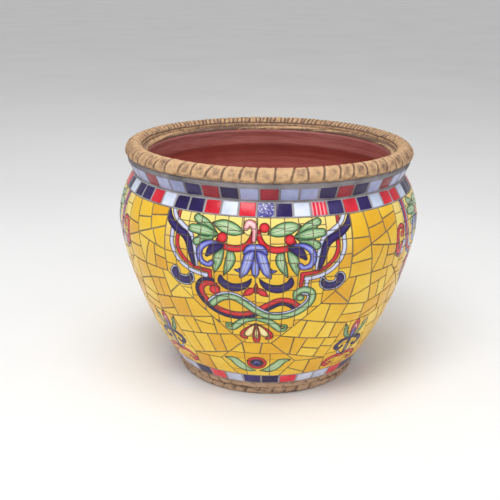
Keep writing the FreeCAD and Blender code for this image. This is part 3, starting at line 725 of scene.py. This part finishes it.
def plain_glaze(name, deep, full, light, stripes=None):
    """A band tile's glaze: brushed clouds between three shades, another share of them on each tile, and
    upright stripes, a sine of the angle round the pot, on tiles marked as striped."""
    finish = Finish(name)
    cloud = finish.times(finish.noise(60, 5, 0.65), 0.7)
    mixed = finish.plus(cloud, finish.times(finish.value("tone"), 0.3))
    colour = finish.ramp(mixed, [(0.25, deep), (0.5, full), (0.75, light)])
    if stripes:
        angle = finish.math("ARCTAN2", finish.place("Y"), finish.place("X"))
        wave = finish.math("SINE", finish.times(angle, STRIPES_ROUND))
        colour = finish.tint(colour, finish.span(wave, 0.0, 0.8), finish.value("striped"), stripes)
    return glazed(finish, colour, 0.14)


def speckled_glaze():
    """Clouded blue with pale flecks where a fine noise is high."""
    finish = Finish("speckled_blue_glaze")
    flecks = finish.span(finish.noise(420, 4, 0.7), 0.53, 0.61)
    deep = finish.mix(finish.noise(60), linear(56, 48, 128), linear(88, 82, 168))
    return glazed(finish, finish.mix(flecks, deep, linear(222, 224, 242)))


def grout_finish(name, dark, mid, light):
    """Cement: sandy grain, stains and a rough, dull face."""
    finish = Finish(name)
    stain = finish.noise(30, 6, 0.6)
    grain = finish.noise(900, 3, 0.7)
    colour = finish.ramp(stain, [(0.3, dark), (0.5, mid), (0.72, light)])
    colour = finish.tint(colour, grain, 0.35, dark)
    normal = finish.bump(grain, 0.5, 0.0008)
    normal = finish.bump(finish.noise(140, 4, 0.6), 0.5, 0.002, normal)
    finish.set(base_color=colour, roughness=finish.span(grain, 0.2, 0.8, 0.75, 0.95), normal=normal)
    return finish.material


def rim_finish(name, light, mid, dark):
    """Rubbed, washed clay: light on high places, washed dark in the hollows and in painted shade, sandy
    grain.
    """
    finish = Finish(name)
    cloud = finish.noise(60, 6, 0.65)
    grain = finish.noise(600, 3, 0.6)
    patch = finish.noise(150, 5, 0.7)
    worn = finish.math("MULTIPLY_ADD", cloud, 1.4, -0.2)
    colour = finish.ramp(worn, [(0.25, mid), (0.5, light), (0.78, mid)])
    # Darkness from the piece's value, washed hollows and painted shade together, broken by patches of noise
    wash_and_shade = finish.plus(finish.value("hollow_and_shade"), finish.math("MULTIPLY_ADD", patch, 1.5, -0.75))
    colour = finish.tint(colour, finish.span(wash_and_shade, 0.1, 0.95), 0.9, dark)
    colour = finish.tint(colour, grain, 0.2, dark)
    normal = finish.bump(grain, 0.35, 0.0006)
    normal = finish.bump(patch, 0.5, 0.0025, normal)
    finish.set(base_color=colour, roughness=finish.span(cloud, 0.3, 0.7, 0.5, 0.72), normal=normal)
    return finish.material


def clay_finish():
    """Red-brown clay inside the pot: bands left by throwing, painted shade under the rim, darker low down.
    """
    finish = Finish("terracotta")
    mapping = finish.node("ShaderNodeMapping", {"Vector": finish.object, "Scale": (1.0, 1.0, 9.0)})
    stretch = mapping.outputs[0]
    streak = finish.noise(9, 6, 0.6, stretch)
    cloud = finish.noise(14, 5, 0.6)
    both = finish.plus(finish.times(streak, 0.6), finish.times(cloud, 0.4))
    colour = finish.ramp(both, [(0.32, (190, 104, 97)), (0.5, (228, 144, 134)), (0.68, (246, 172, 161))])
    streaked_height = finish.math("MULTIPLY_ADD", streak, 0.08, finish.place("Z"))
    # Darker low down in the pot
    colour = finish.tint(colour, finish.span(streaked_height, 0.265, 0.16), 0.66, (150, 84, 68))
    # Painted shade under the rim, where the rim shades the inner wall
    colour = finish.tint(colour, finish.span(streaked_height, 0.3, 0.37), 0.75, (120, 58, 57))
    grain = finish.noise(700, 3, 0.6)
    colour = finish.tint(colour, grain, 0.2, (132, 66, 60))
    normal = finish.bump(finish.noise(22, 5, 0.6, stretch), 0.35, 0.004)
    normal = finish.bump(grain, 0.3, 0.0006, normal)
    finish.set(base_color=colour, roughness=finish.span(cloud, 0.3, 0.7, 0.42, 0.62), normal=normal)
    return finish.material


# Turned pieces

def turned(name, radius, height, columns, finish, nodes, values=None):
    """A closed section carried round the pot: rows follow the section, columns the angle, and both the
    radius and the height may change with the angle."""
    turn = round_angles(columns)
    radius, height, turn = np.broadcast_arrays(radius, height, turn)
    faces = grid_faces(len(radius), columns, close_rows=True)[:, ::-1]
    return new_piece(name, round_pot(turn, radius, height), faces.tolist(), finish, nodes, values)


def round_angles(columns):
    """Even angles once round the pot, as one row."""
    return np.linspace(0, 2 * math.pi, columns, endpoint=False)[None]


def wander(turn, strength, waves, offset=0.0):
    """Uneven change round the pot: a sum of whole waves with drawn phases, each weaker by its count."""
    phase = chance.uniform(0, 2 * math.pi, len(waves))
    order = range(1, len(waves) + 1)
    parts = [np.sin(n * turn + p + offset * k) / k for k, n, p in zip(order, waves, phase)]
    return strength * np.sum(parts, axis=0)


def eased(value, low, high):
    """0 below low, 1 above high and a smooth rise between them."""
    t = np.clip((value - low) / (high - low), 0, 1)
    return t * t * (3 - 2 * t)


def bell(value, middle, width):
    """1 at the middle and less on both sides: the Gauss curve of the distance over the width."""
    return np.exp(-((value - middle) / width) ** 2)


RIDGE_PITCH = 11 * MM
RIDGE_LIFT = 0.35 * MM
RIDGE_DRIFT = 1.4
RIDGE_CLIMB = 40
RIDGE_FLOOR_FADE = 8 * MM
RIDGE_RIM_FADE = 9 * MM
CORNER = 4 * MM


def clay_pot():
    """The thrown pot as closed rows: under the foot, up the outside, over the seat of the rim, down the
    inside, over the floor and down the drain hole. Low throwing ridges climb the inside: a sine of the
    height that drifts with the angle."""
    columns = 360
    turn = round_angles(columns)
    outer_r, outer_z = wall_at(np.linspace(FOOT_UP, CREASE_UP, 24), CLAY_DEPTH)
    crease = math.asin((CREASE_Z - BELLY_Z) / (BELLY_ARC - INSIDE_DEPTH))
    floor = math.asin((FLOOR_THICKNESS - FLANK_Z) / (FLANK_ARC - INSIDE_DEPTH))
    way = np.linspace((crease + FLANK_TURN) * BELLY_ARC, (floor + FLANK_TURN) * FLANK_ARC, 110)
    inner_r, inner_z = wall_at(way, INSIDE_DEPTH)
    below = np.linspace(DRAIN_RADIUS, FOOT_RING, 8)
    mouth_z = np.linspace(RIM_SEAT, CREASE_Z + CORNER, 6)
    bottom = np.linspace(inner_r[-1] - CORNER, DRAIN_RADIUS, 16)
    outside_r = np.concatenate([below, outer_r, [CREASE_RADIUS - CLAY_DEPTH]])
    outside_z = np.concatenate([0 * below, outer_z, [RIM_SEAT]])
    radius = np.concatenate([outside_r, 0 * mouth_z + MOUTH_RADIUS, inner_r, bottom])[:, None]
    height = np.concatenate([outside_z, mouth_z, inner_z, 0 * bottom + FLOOR_THICKNESS])[:, None]
    inside = (np.arange(len(radius)) >= len(outside_r))[:, None]
    off_floor = eased(height, FLOOR_THICKNESS, FLOOR_THICKNESS + RIDGE_FLOOR_FADE)
    off_rim = eased(RIM_SEAT - height, 0, RIDGE_RIM_FADE)
    drift = RIDGE_DRIFT * np.sin(turn + RIDGE_CLIMB * height)
    ridge = RIDGE_LIFT * np.sin(2 * math.pi * height / RIDGE_PITCH + drift)
    slow = wander(turn, 0.5 * MM, (2, 3, 5), 30 * height)
    radius = radius + inside * off_floor * off_rim * (ridge + slow)
    turned("clay_pot_thrown", radius, height, columns, clay_finish(), ["clay_pot"])


GROUT_COLUMNS = 420
COLLAR_SWELLING = 0.7 * MM


def grout_lumps(turn, up):
    """Low waver of a grout face: short and long waves round the pot that shift with the way up."""
    return wander(turn, 0.06 * MM, (31, 47, 83), 300 * up) + wander(turn, 0.05 * MM, (7, 13), 100 * up)


def grout_ring(name, low, high, rows, nodes, finish, depth):
    """Ring of grout between two ways up the wall: its face lies under the tiles, wavers a little and
    swells into the crease."""
    turn = round_angles(GROUT_COLUMNS)
    up = np.linspace(low, high, rows)[:, None]
    bead = CREASE_BEAD * bell(up, CREASE_UP, CREASE_BEAD_WIDTH)
    face_r, face_z = wall_at(up, depth - bead + grout_lumps(turn, up))
    back_r, back_z = wall_at(up[::-1] + 0 * turn, BED_DEPTH)
    turned(name, np.concatenate([face_r, back_r]), np.concatenate([face_z, back_z]), GROUT_COLUMNS, finish,
           nodes)


def neck_grout(finish):
    """Grout of the neck and the collar above it: up the flare, then straight up in a low swelling to the
    rim, and back down behind."""
    turn = round_angles(GROUT_COLUMNS)
    up = np.linspace(0, NECK_LENGTH, 16)[:, None]
    bead = CREASE_BEAD * bell(up, 0, CREASE_BEAD_WIDTH)
    face_r, face_z = neck_at(up, BAND_GROUT_DEPTH - bead + grout_lumps(turn, up))
    rise = np.linspace(0.08, 1, 10)[:, None]
    uneven = wander(turn, 0.25 * MM, (5, 12, 29, 64), 4 * rise)
    collar_r = COLLAR_RADIUS - GROUT_DEPTH + COLLAR_SWELLING * np.sin(math.pi * rise) + uneven
    collar_z = NECK_TOP + rise * (RIM_SEAT - NECK_TOP) + 0 * turn
    back_r, back_z = neck_at(up[::-1] + 0 * turn, BED_DEPTH)
    top_r = np.full_like(turn, COLLAR_RADIUS - BED_DEPTH)
    top_z = np.full_like(turn, RIM_SEAT)
    radius = np.concatenate([face_r, collar_r, top_r, back_r])
    height = np.concatenate([face_z, collar_z, top_z, back_z])
    turned("grout_of_neck_band", radius, height, GROUT_COLUMNS, finish, ["neck_grout"])


LIP_WIDTH = 7 * MM
LIP_RISE = 6 * MM
LIP_ROUND = 5 * MM
COIL_RADIUS = 12.5 * MM
COIL_SEAT = 7.5 * MM
COIL_BITE = 0.5 * MM
RIM_LOBES = 72
# Pads of the coil: angles on its section from outside over the top, and shares of a pad's width
PAD_LOW = -0.22
PAD_LOW_ROUND = 0.24
PAD_MIDDLE = 0.65
PAD_HIGH = 2.7
PAD_SWING = 0.17
PAD_LEAN = 0.09
PAD_UNEVEN = 0.07
PAD_LOW_UNEVEN = 0.09
PAD_HIGH_UNEVEN = 0.03
STEP_SOFT = 0.08
GROOVE_WIDTH = 0.07
SECOND_WIDTH = 0.06
SECOND_SHARE = 0.75
THUMB_WIDTH = 0.42
THUMB_LENGTH = 0.45
SCORE_WIDTH = 0.06
GROOVE_DEPTH = 2 * MM
THUMB_DEPTH = 1 * MM
STEP_DEPTH = 1.1 * MM
SCORE_DEPTH = 1.2 * MM
LIP_TOP = RIM_SEAT + LIP_RISE
LIP_OUTSIDE = MOUTH_RADIUS + LIP_WIDTH
COIL_CENTRE = LIP_OUTSIDE + COIL_RADIUS - COIL_BITE
COIL_HEIGHT = RIM_SEAT + COIL_RADIUS - COIL_SEAT


def rim_coil(finish):
    """Round coil pressed into pads, wider at the front and parted twice as often at the back. Its radius,
    round the section from outside over the top, is the coil's, less a narrow groove at each pad's border,
    a thumb mark in its middle, a step under its rounded lower end and a scored line along its inner end.
    It is flat below, and upright where it meets the lip."""
    columns, rows = RIM_LOBES * 18, 52
    turn = round_angles(columns)
    seat_angle = -math.asin((COIL_HEIGHT - RIM_SEAT) / COIL_RADIUS)
    lip_angle = math.pi - math.acos((COIL_CENTRE - LIP_OUTSIDE) / COIL_RADIUS)
    section = np.linspace(seat_angle, lip_angle, rows)[:, None]
    shift = chance.uniform(-1, 1, RIM_LOBES)
    press = chance.uniform(0.6, 1.3, RIM_LOBES)
    slant = chance.uniform(-0.05, 0.13, RIM_LOBES)
    over = section - PAD_MIDDLE
    cell = (turn - PAD_SWING * np.sin(turn)) * RIM_LOBES / (2 * math.pi) - PAD_LEAN * over
    border = np.round(cell).astype(int) % RIM_LOBES
    pad = np.floor(cell).astype(int) % RIM_LOBES
    off = cell - np.round(cell) - PAD_UNEVEN * shift[border] - slant[border] * over
    across = 2 * (cell - np.floor(cell)) - 1
    low_end = PAD_LOW + PAD_LOW_ROUND * across ** 2 + PAD_LOW_UNEVEN * shift[pad]
    high_end = PAD_HIGH + wander(turn, PAD_HIGH_UNEVEN, (6, 17, 40))
    below = 1 - eased(section, low_end - STEP_SOFT, low_end + STEP_SOFT)
    on_pad = (1 - below) * eased(high_end - section, -0.05, 0.1)
    behind = (1 - np.cos(turn)) / 2
    between = 0.5 * across - PAD_UNEVEN * shift[pad] - slant[pad] * over
    second = bell(between, 0, SECOND_WIDTH) * eased(behind, 0.5, 0.75)
    groove = np.maximum(bell(off, 0, GROOVE_WIDTH), SECOND_SHARE * second) * on_pad
    thumb = bell(across ** 2, 0, THUMB_WIDTH) * bell(over ** 2, 0, THUMB_LENGTH) * press[pad] * on_pad
    scored = bell(section, high_end, SCORE_WIDTH)
    rough = wander(turn, 0.16 * MM, (61, 97, 151, 229), 3 * section)
    rough = rough + wander(turn, 0.25 * MM, (3, 5, 11), section)
    cut = GROOVE_DEPTH * groove * press[border] + THUMB_DEPTH * thumb + STEP_DEPTH * below
    radius = COIL_RADIUS + rough - cut - SCORE_DEPTH * scored
    # Painted shade at the back, on the sides and below the pads; the grooves, thumbs and scores are washed
    # dark.
    wash_and_shade = 0.4 * behind + 0.1 * np.abs(np.sin(turn))
    wash_and_shade = wash_and_shade + 1.1 * groove + 0.4 * thumb + 0.5 * below + 1.2 * scored
    under = np.repeat([[LIP_OUTSIDE], [COIL_CENTRE]], columns, axis=1)
    around = np.concatenate([COIL_CENTRE + radius * np.cos(section), under])
    height = np.concatenate([COIL_HEIGHT + radius * np.sin(section), np.full_like(under, RIM_SEAT)])
    hollow_and_shade = np.concatenate([np.clip(wash_and_shade, 0, 1), np.ones_like(under)])
    turned("rim_coil_pressed", around, height, columns, finish, ["rim_coil"],
           {"hollow_and_shade": hollow_and_shade})


def rim_lip(finish):
    """Smooth inner roll: up the mouth, over a quarter round and on to the coil. It is smeared and lumpy,
    most of all at the back. Painted shade darkens the back, most by the coil, and the inner face under the
    top."""
    columns = 720
    turn = round_angles(columns)
    bend = np.linspace(math.pi, math.pi / 2, 16)
    rise = np.linspace(RIM_SEAT, LIP_TOP - LIP_ROUND, 4)[:-1]
    top = np.linspace(MOUTH_RADIUS + LIP_ROUND, LIP_OUTSIDE, 6)[1:]
    radius = np.concatenate([np.full(3, MOUTH_RADIUS), MOUTH_RADIUS + LIP_ROUND * (1 + np.cos(bend)), top,
                             [LIP_OUTSIDE]])[:, None]
    height = np.concatenate([rise, LIP_TOP - LIP_ROUND * (1 - np.sin(bend)), np.full(5, LIP_TOP),
                             [RIM_SEAT]])[:, None]
    behind = (1 - np.cos(turn)) / 2
    free = eased(height, RIM_SEAT, RIM_SEAT + 4 * MM) * (radius < LIP_OUTSIDE - MM)
    lumps = wander(turn, 0.25 * MM, (3, 8, 21, 55, 89), 400 * radius) * (1 + behind)
    smear = wander(turn, 0.22, (4, 9, 17, 33, 71), 300 * radius + 200 * height) * (0.6 + behind)
    outer = eased(radius, MOUTH_RADIUS + 0.2 * LIP_WIDTH, MOUTH_RADIUS + 0.6 * LIP_WIDTH)
    under = eased(LIP_TOP - height, 2 * MM, 5 * MM)
    # Painted shade: darker over the back half, most by the coil, and on the inner face under the top; the
    # even base and the smears are the washed finish.
    hollow_and_shade = np.clip(0.25 + 0.4 * behind + 0.3 * behind * outer + 0.4 * under + smear, 0, 1)
    turned("rim_lip_smoothed", radius + 0 * turn, height + free * lumps, columns, finish,
           ["rim_lip"], {"hollow_and_shade": hollow_and_shade})


FOOT_LOBES = 45
FOOT_COIL_BASE = 131.9 * MM
FOOT_COIL_TOP = 135.4 * MM
FOOT_SWELL = 3.2 * MM
FOOT_STAGGER = 0.3
LOWER_SLANT = -0.125
UPPER_SLANT = 0.15
FOOT_UNEVEN = 0.12
FOOT_GROOVE_WIDTH = 0.09
FOOT_PRESS = 0.42


def foot_coil(finish):
    """Two flat rolls one on the other: the radius swells by a half round on each, and slanted presses
    part the pads, the lower roll's the other way."""
    columns, rows = FOOT_LOBES * 16, 36
    turn = round_angles(columns)
    height = np.concatenate([np.linspace(0, FOOT_Z, rows), [FOOT_Z, 0.0]])[:, None]
    roll = np.clip(height / FOOT_Z * 2, 0, 1.9999)
    upper = np.floor(roll)
    part = 2 * (roll - upper) - 1
    swell = np.clip(1 - part ** 2, 0, 1) ** 0.5
    slant = np.where(upper > 0, UPPER_SLANT, LOWER_SLANT)
    cell = turn * FOOT_LOBES / (2 * math.pi) + FOOT_STAGGER * upper + slant * part
    border = np.round(cell).astype(int) % FOOT_LOBES
    press = chance.uniform(0.5, 1.2, (2, FOOT_LOBES))[upper.astype(int), border]
    off = cell - np.round(cell) - chance.uniform(-FOOT_UNEVEN, FOOT_UNEVEN, FOOT_LOBES)[border]
    groove = bell(off, 0, FOOT_GROOVE_WIDTH) * press
    lean = FOOT_COIL_BASE + (FOOT_COIL_TOP - FOOT_COIL_BASE) * height / FOOT_Z
    rough = wander(turn, 0.3 * MM, (41, 67, 103), 1000 * height)
    front = lean - FOOT_SWELL + swell * (FOOT_SWELL * (1 - FOOT_PRESS * groove) + rough)
    back = (np.arange(rows + 2) >= rows)[:, None]
    smear = wander(turn, 0.22, (5, 14, 29, 61), 400 * height)
    # Washed dark in the grooves and between the rolls, with painted shade darkening the whole lower roll.
    wash_and_shade = 0.5 * groove + 0.9 * (1 - swell) ** 2 + 0.2 * (1 - upper) + smear
    hollow_and_shade = np.where(back, 0.5, np.clip(wash_and_shade, 0, 1))
    turned("foot_coil_pressed", np.where(back, FOOT_RING, front), height + 0 * turn, columns, finish,
           ["foot_coil"], {"hollow_and_shade": hollow_and_shade})


clay_pot()
rim_clay = rim_finish("tan_rim_clay", (222, 181, 134), (194, 151, 111), (92, 66, 58))
foot_clay = rim_finish("brown_foot_clay", (216, 180, 146), (178, 142, 114), (90, 66, 56))
rim_coil(rim_clay)
rim_lip(rim_clay)
foot_coil(foot_clay)

pale_grout = grout_finish("grey_grout", (132, 127, 130), (168, 164, 168), (192, 189, 194))
# A darker copy of the grey grout: painted shade on the neck and the collar under the rim
neck_grout_painted_shade = grout_finish("grey_grout_of_neck_painted_shade", (104, 98, 99), (142, 136, 139), (168, 163, 167))
field_grout = grout_finish("grey_grout_of_field", (96, 86, 66), (134, 122, 100), (162, 152, 132))
grout_ring("grout_of_foot_band", FOOT_UP, BAND_UP, 10, ["foot_grout"], pale_grout, BAND_GROUT_DEPTH)
grout_ring("grout_of_field", BAND_UP, TOP_UP, 90, ["field_grout"], field_grout, GROUT_DEPTH)
grout_ring("grout_of_shoulder_band", TOP_UP, CREASE_UP, 20, ["shoulder_grout"], pale_grout,
           BAND_GROUT_DEPTH)
neck_grout(neck_grout_painted_shade)

mortar = Finish("mortar")
mortar.set(base_color=mortar.ramp(mortar.noise(80), [(0.3, (96, 90, 86)), (0.7, (140, 134, 130))]),
           roughness=mortar.span(mortar.noise(300), 0.3, 0.7, 0.8, 0.95))
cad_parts["mortar_bed"].data.materials.clear()
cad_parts["mortar_bed"].data.materials.append(mortar.material)

# How far each tile reaches past its solid, which leaves the joints as narrow as they look
BAND_SPREAD = 0.1 * MM
FIELD_SPREAD = 0.5 * MM
PANEL_SPREAD = 0.38 * MM

BAND_GLAZES = {
    "red": plain_glaze("red_glaze", (190, 22, 42), (236, 42, 64), (244, 84, 98), (250, 164, 176)),
    "navy": plain_glaze("navy_glaze", (28, 16, 62), (44, 30, 94), (62, 46, 118)),
    "pale": plain_glaze("pale_blue_glaze", (176, 182, 212), (204, 210, 236), (226, 230, 248)),
    "white": plain_glaze("white_glaze", (188, 202, 228), (212, 222, 242), (236, 240, 250)),
    "speckled": speckled_glaze(),
}
# The neck leans out over its own shade: its glazes are darker, partly deeper glaze and partly painted shade
NECK_GLAZES_DEEP_AND_SHADED = {
    "red": plain_glaze("deep_red_glaze_with_painted_shade", (104, 12, 26), (146, 26, 42), (176, 46, 60)),
    "navy": plain_glaze("deep_navy_glaze_with_painted_shade", (26, 14, 48), (40, 26, 76), (56, 42, 98)),
    "pale": plain_glaze("lavender_glaze_with_painted_shade", (132, 138, 178), (160, 166, 204), (188, 192, 226)),
}
BANDS = {
    "neck": (neck_skin, ("red", "navy", "pale"), NECK_GLAZES_DEEP_AND_SHADED),
    "shoulder": (wall_skin, ("red", "navy", "white", "speckled"), BAND_GLAZES),
    "foot": (wall_skin, ("red", "navy", "pale"), BAND_GLAZES),
}
# Points round a tile and rings on its face
BAND_FINENESS = (20, 2)
FIELD_FINENESS = (28, 3)
PANEL_FINENESS = (48, 8)
SINGLE_FINENESS = (64, 14)
STRIPED_TURN = math.radians(22)
STRIPED_REACH = math.radians(3.4)
for band, (skin, colours, glazes) in BANDS.items():
    for colour in colours:
        node = f"{band}_tiles_{colour}"
        tiles = tiling(face_outlines(node, skin), skin, BAND_FINENESS, BAND_SPREAD)
        aside = np.abs(tiles.turn - STRIPED_TURN).mean(axis=1, keepdims=True)
        striped = np.broadcast_to((band == "shoulder") & (aside < STRIPED_REACH), tiles.turn.shape)
        lay(f"{node}_glazed", tiles, skin, glazes[colour], [node],
            paint={"striped": striped})

SIDES = ["front", "right", "back", "left"]
CORNERS = ["front_right", "back_right", "back_left", "front_left"]
QUARTER = math.pi / 2
yellow = field_glaze()
painted = painted_glaze()
for number, side in enumerate(SIDES):
    axis = number * QUARTER
    node = f"field_tiles_{side}"
    tiles = tiling(face_outlines(node, wall_skin, axis), wall_skin, FIELD_FINENESS, FIELD_SPREAD)
    lay(f"{node}_glazed", tiles, wall_skin, yellow, [node], axis)

PANEL_PAINTS = [paint_front_panel, paint_side_panel, paint_front_panel, paint_side_panel]
# Painted sets: nodes, angle of the first, paintings, radius of the flat picture, fineness and spread
PAINTED = [
    ("panel_tiles", SIDES, 0.0, PANEL_PAINTS, 205 * MM, PANEL_FINENESS, PANEL_SPREAD),
    ("flower_tiles", SIDES, 0.0, 4 * [paint_foot_flower], 163 * MM, SINGLE_FINENESS, FIELD_SPREAD),
    ("stem_tiles", CORNERS, QUARTER / 2, 4 * [paint_stem], 170 * MM, SINGLE_FINENESS, FIELD_SPREAD),
]
for group, names, start, paints, radius, fineness, spread in PAINTED:
    for number, (side, paint) in enumerate(zip(names, paints)):
        axis = start + number * QUARTER
        node = f"{group}_{side}"
        tiles = tiling(face_outlines(node, wall_skin, axis), wall_skin, fineness, spread)
        picture = Painting(tiles.turn, tiles.up, radius)
        paint(picture)
        lay(f"{node}_painted", tiles, wall_skin, painted, [node], axis,
            picture.values(tiles.turn.shape), mapped=True)

# Camera where the photograph was taken, a little to the right of the front panel's axis

CAMERA_AWAY = 1.1655
CAMERA_HEIGHT = 0.5581
CAMERA_SIDE = math.radians(4)
CAMERA_DOWN = 0.325618
CAMERA_ROLL = 0.01578
FOCAL_PIXELS = 816.707
IMAGE_PIXELS = 500
SENSOR_WIDTH = 36
CENTRE_PIXELS = (267.7, 254.52)


def camera():
    """Camera at an angle and a radius round the pot, tilted down and rolled, its lens shifted so that the
    line of sight meets the picture at the named centre."""
    data = bpy.data.cameras.new("camera")
    data.sensor_width = SENSOR_WIDTH
    data.lens = FOCAL_PIXELS / IMAGE_PIXELS * SENSOR_WIDTH
    data.shift_x = 0.5 - CENTRE_PIXELS[0] / IMAGE_PIXELS
    data.shift_y = CENTRE_PIXELS[1] / IMAGE_PIXELS - 0.5
    place = Vector(round_pot(CAMERA_SIDE, CAMERA_AWAY, CAMERA_HEIGHT).tolist())
    turn = Matrix.Rotation(CAMERA_SIDE, 4, "Z") @ Matrix.Rotation(math.pi / 2 - CAMERA_DOWN, 4, "X")
    viewer = bpy.data.objects.new("camera", data)
    viewer.matrix_world = Matrix.Translation(place) @ turn @ Matrix.Rotation(CAMERA_ROLL, 4, "Z")
    bpy.context.scene.collection.objects.link(viewer)
    bpy.context.scene.camera = viewer


def soft_light(name, place, aim, size, power):
    """Square lamp at a place, turned to face its aim."""
    data = bpy.data.lights.new(name, "AREA")
    data.size = size
    data.energy = power
    light = bpy.data.objects.new(name, data)
    light.location = place
    light.rotation_euler = (Vector(aim) - Vector(place)).to_track_quat("-Z", "Y").to_euler()
    bpy.context.scene.collection.objects.link(light)


def studio():
    """Pale floor, even pale surroundings and three wide soft lights."""
    finish = Finish("pale_floor")
    shade = finish.ramp(finish.noise(1.5), [(0.3, (244, 244, 244)), (0.7, (250, 250, 250))])
    finish.set(base_color=shade, roughness=0.9)
    half = 30.0
    corners = [(-half, -half, 0), (half, -half, 0), (half, half, 0), (-half, half, 0)]
    mesh = bpy.data.meshes.new("floor")
    mesh.from_pydata(corners, [], [(0, 1, 2, 3)])
    mesh.materials.append(finish.material)
    floor = bpy.data.objects.new("floor", mesh)
    bpy.context.scene.collection.objects.link(floor)
    world = bpy.data.worlds.new("surroundings")
    world.use_nodes = True
    background = world.node_tree.nodes["Background"].inputs
    background["Color"].default_value = (1, 1, 1, 1)
    background["Strength"].default_value = 0.52
    bpy.context.scene.world = world
    soft_light("key", (-0.4, -1.2, 2.2), (0, 0, 0.25), 1.1, 25)
    soft_light("fill", (1.6, -1.2, 1.4), (0, 0, 0.2), 1.4, 4)
    soft_light("top", (0.1, -0.4, 2.4), (0, 0, 0.25), 1.2, 14)
    bpy.context.scene.view_settings.view_transform = "Standard"


camera()
studio()
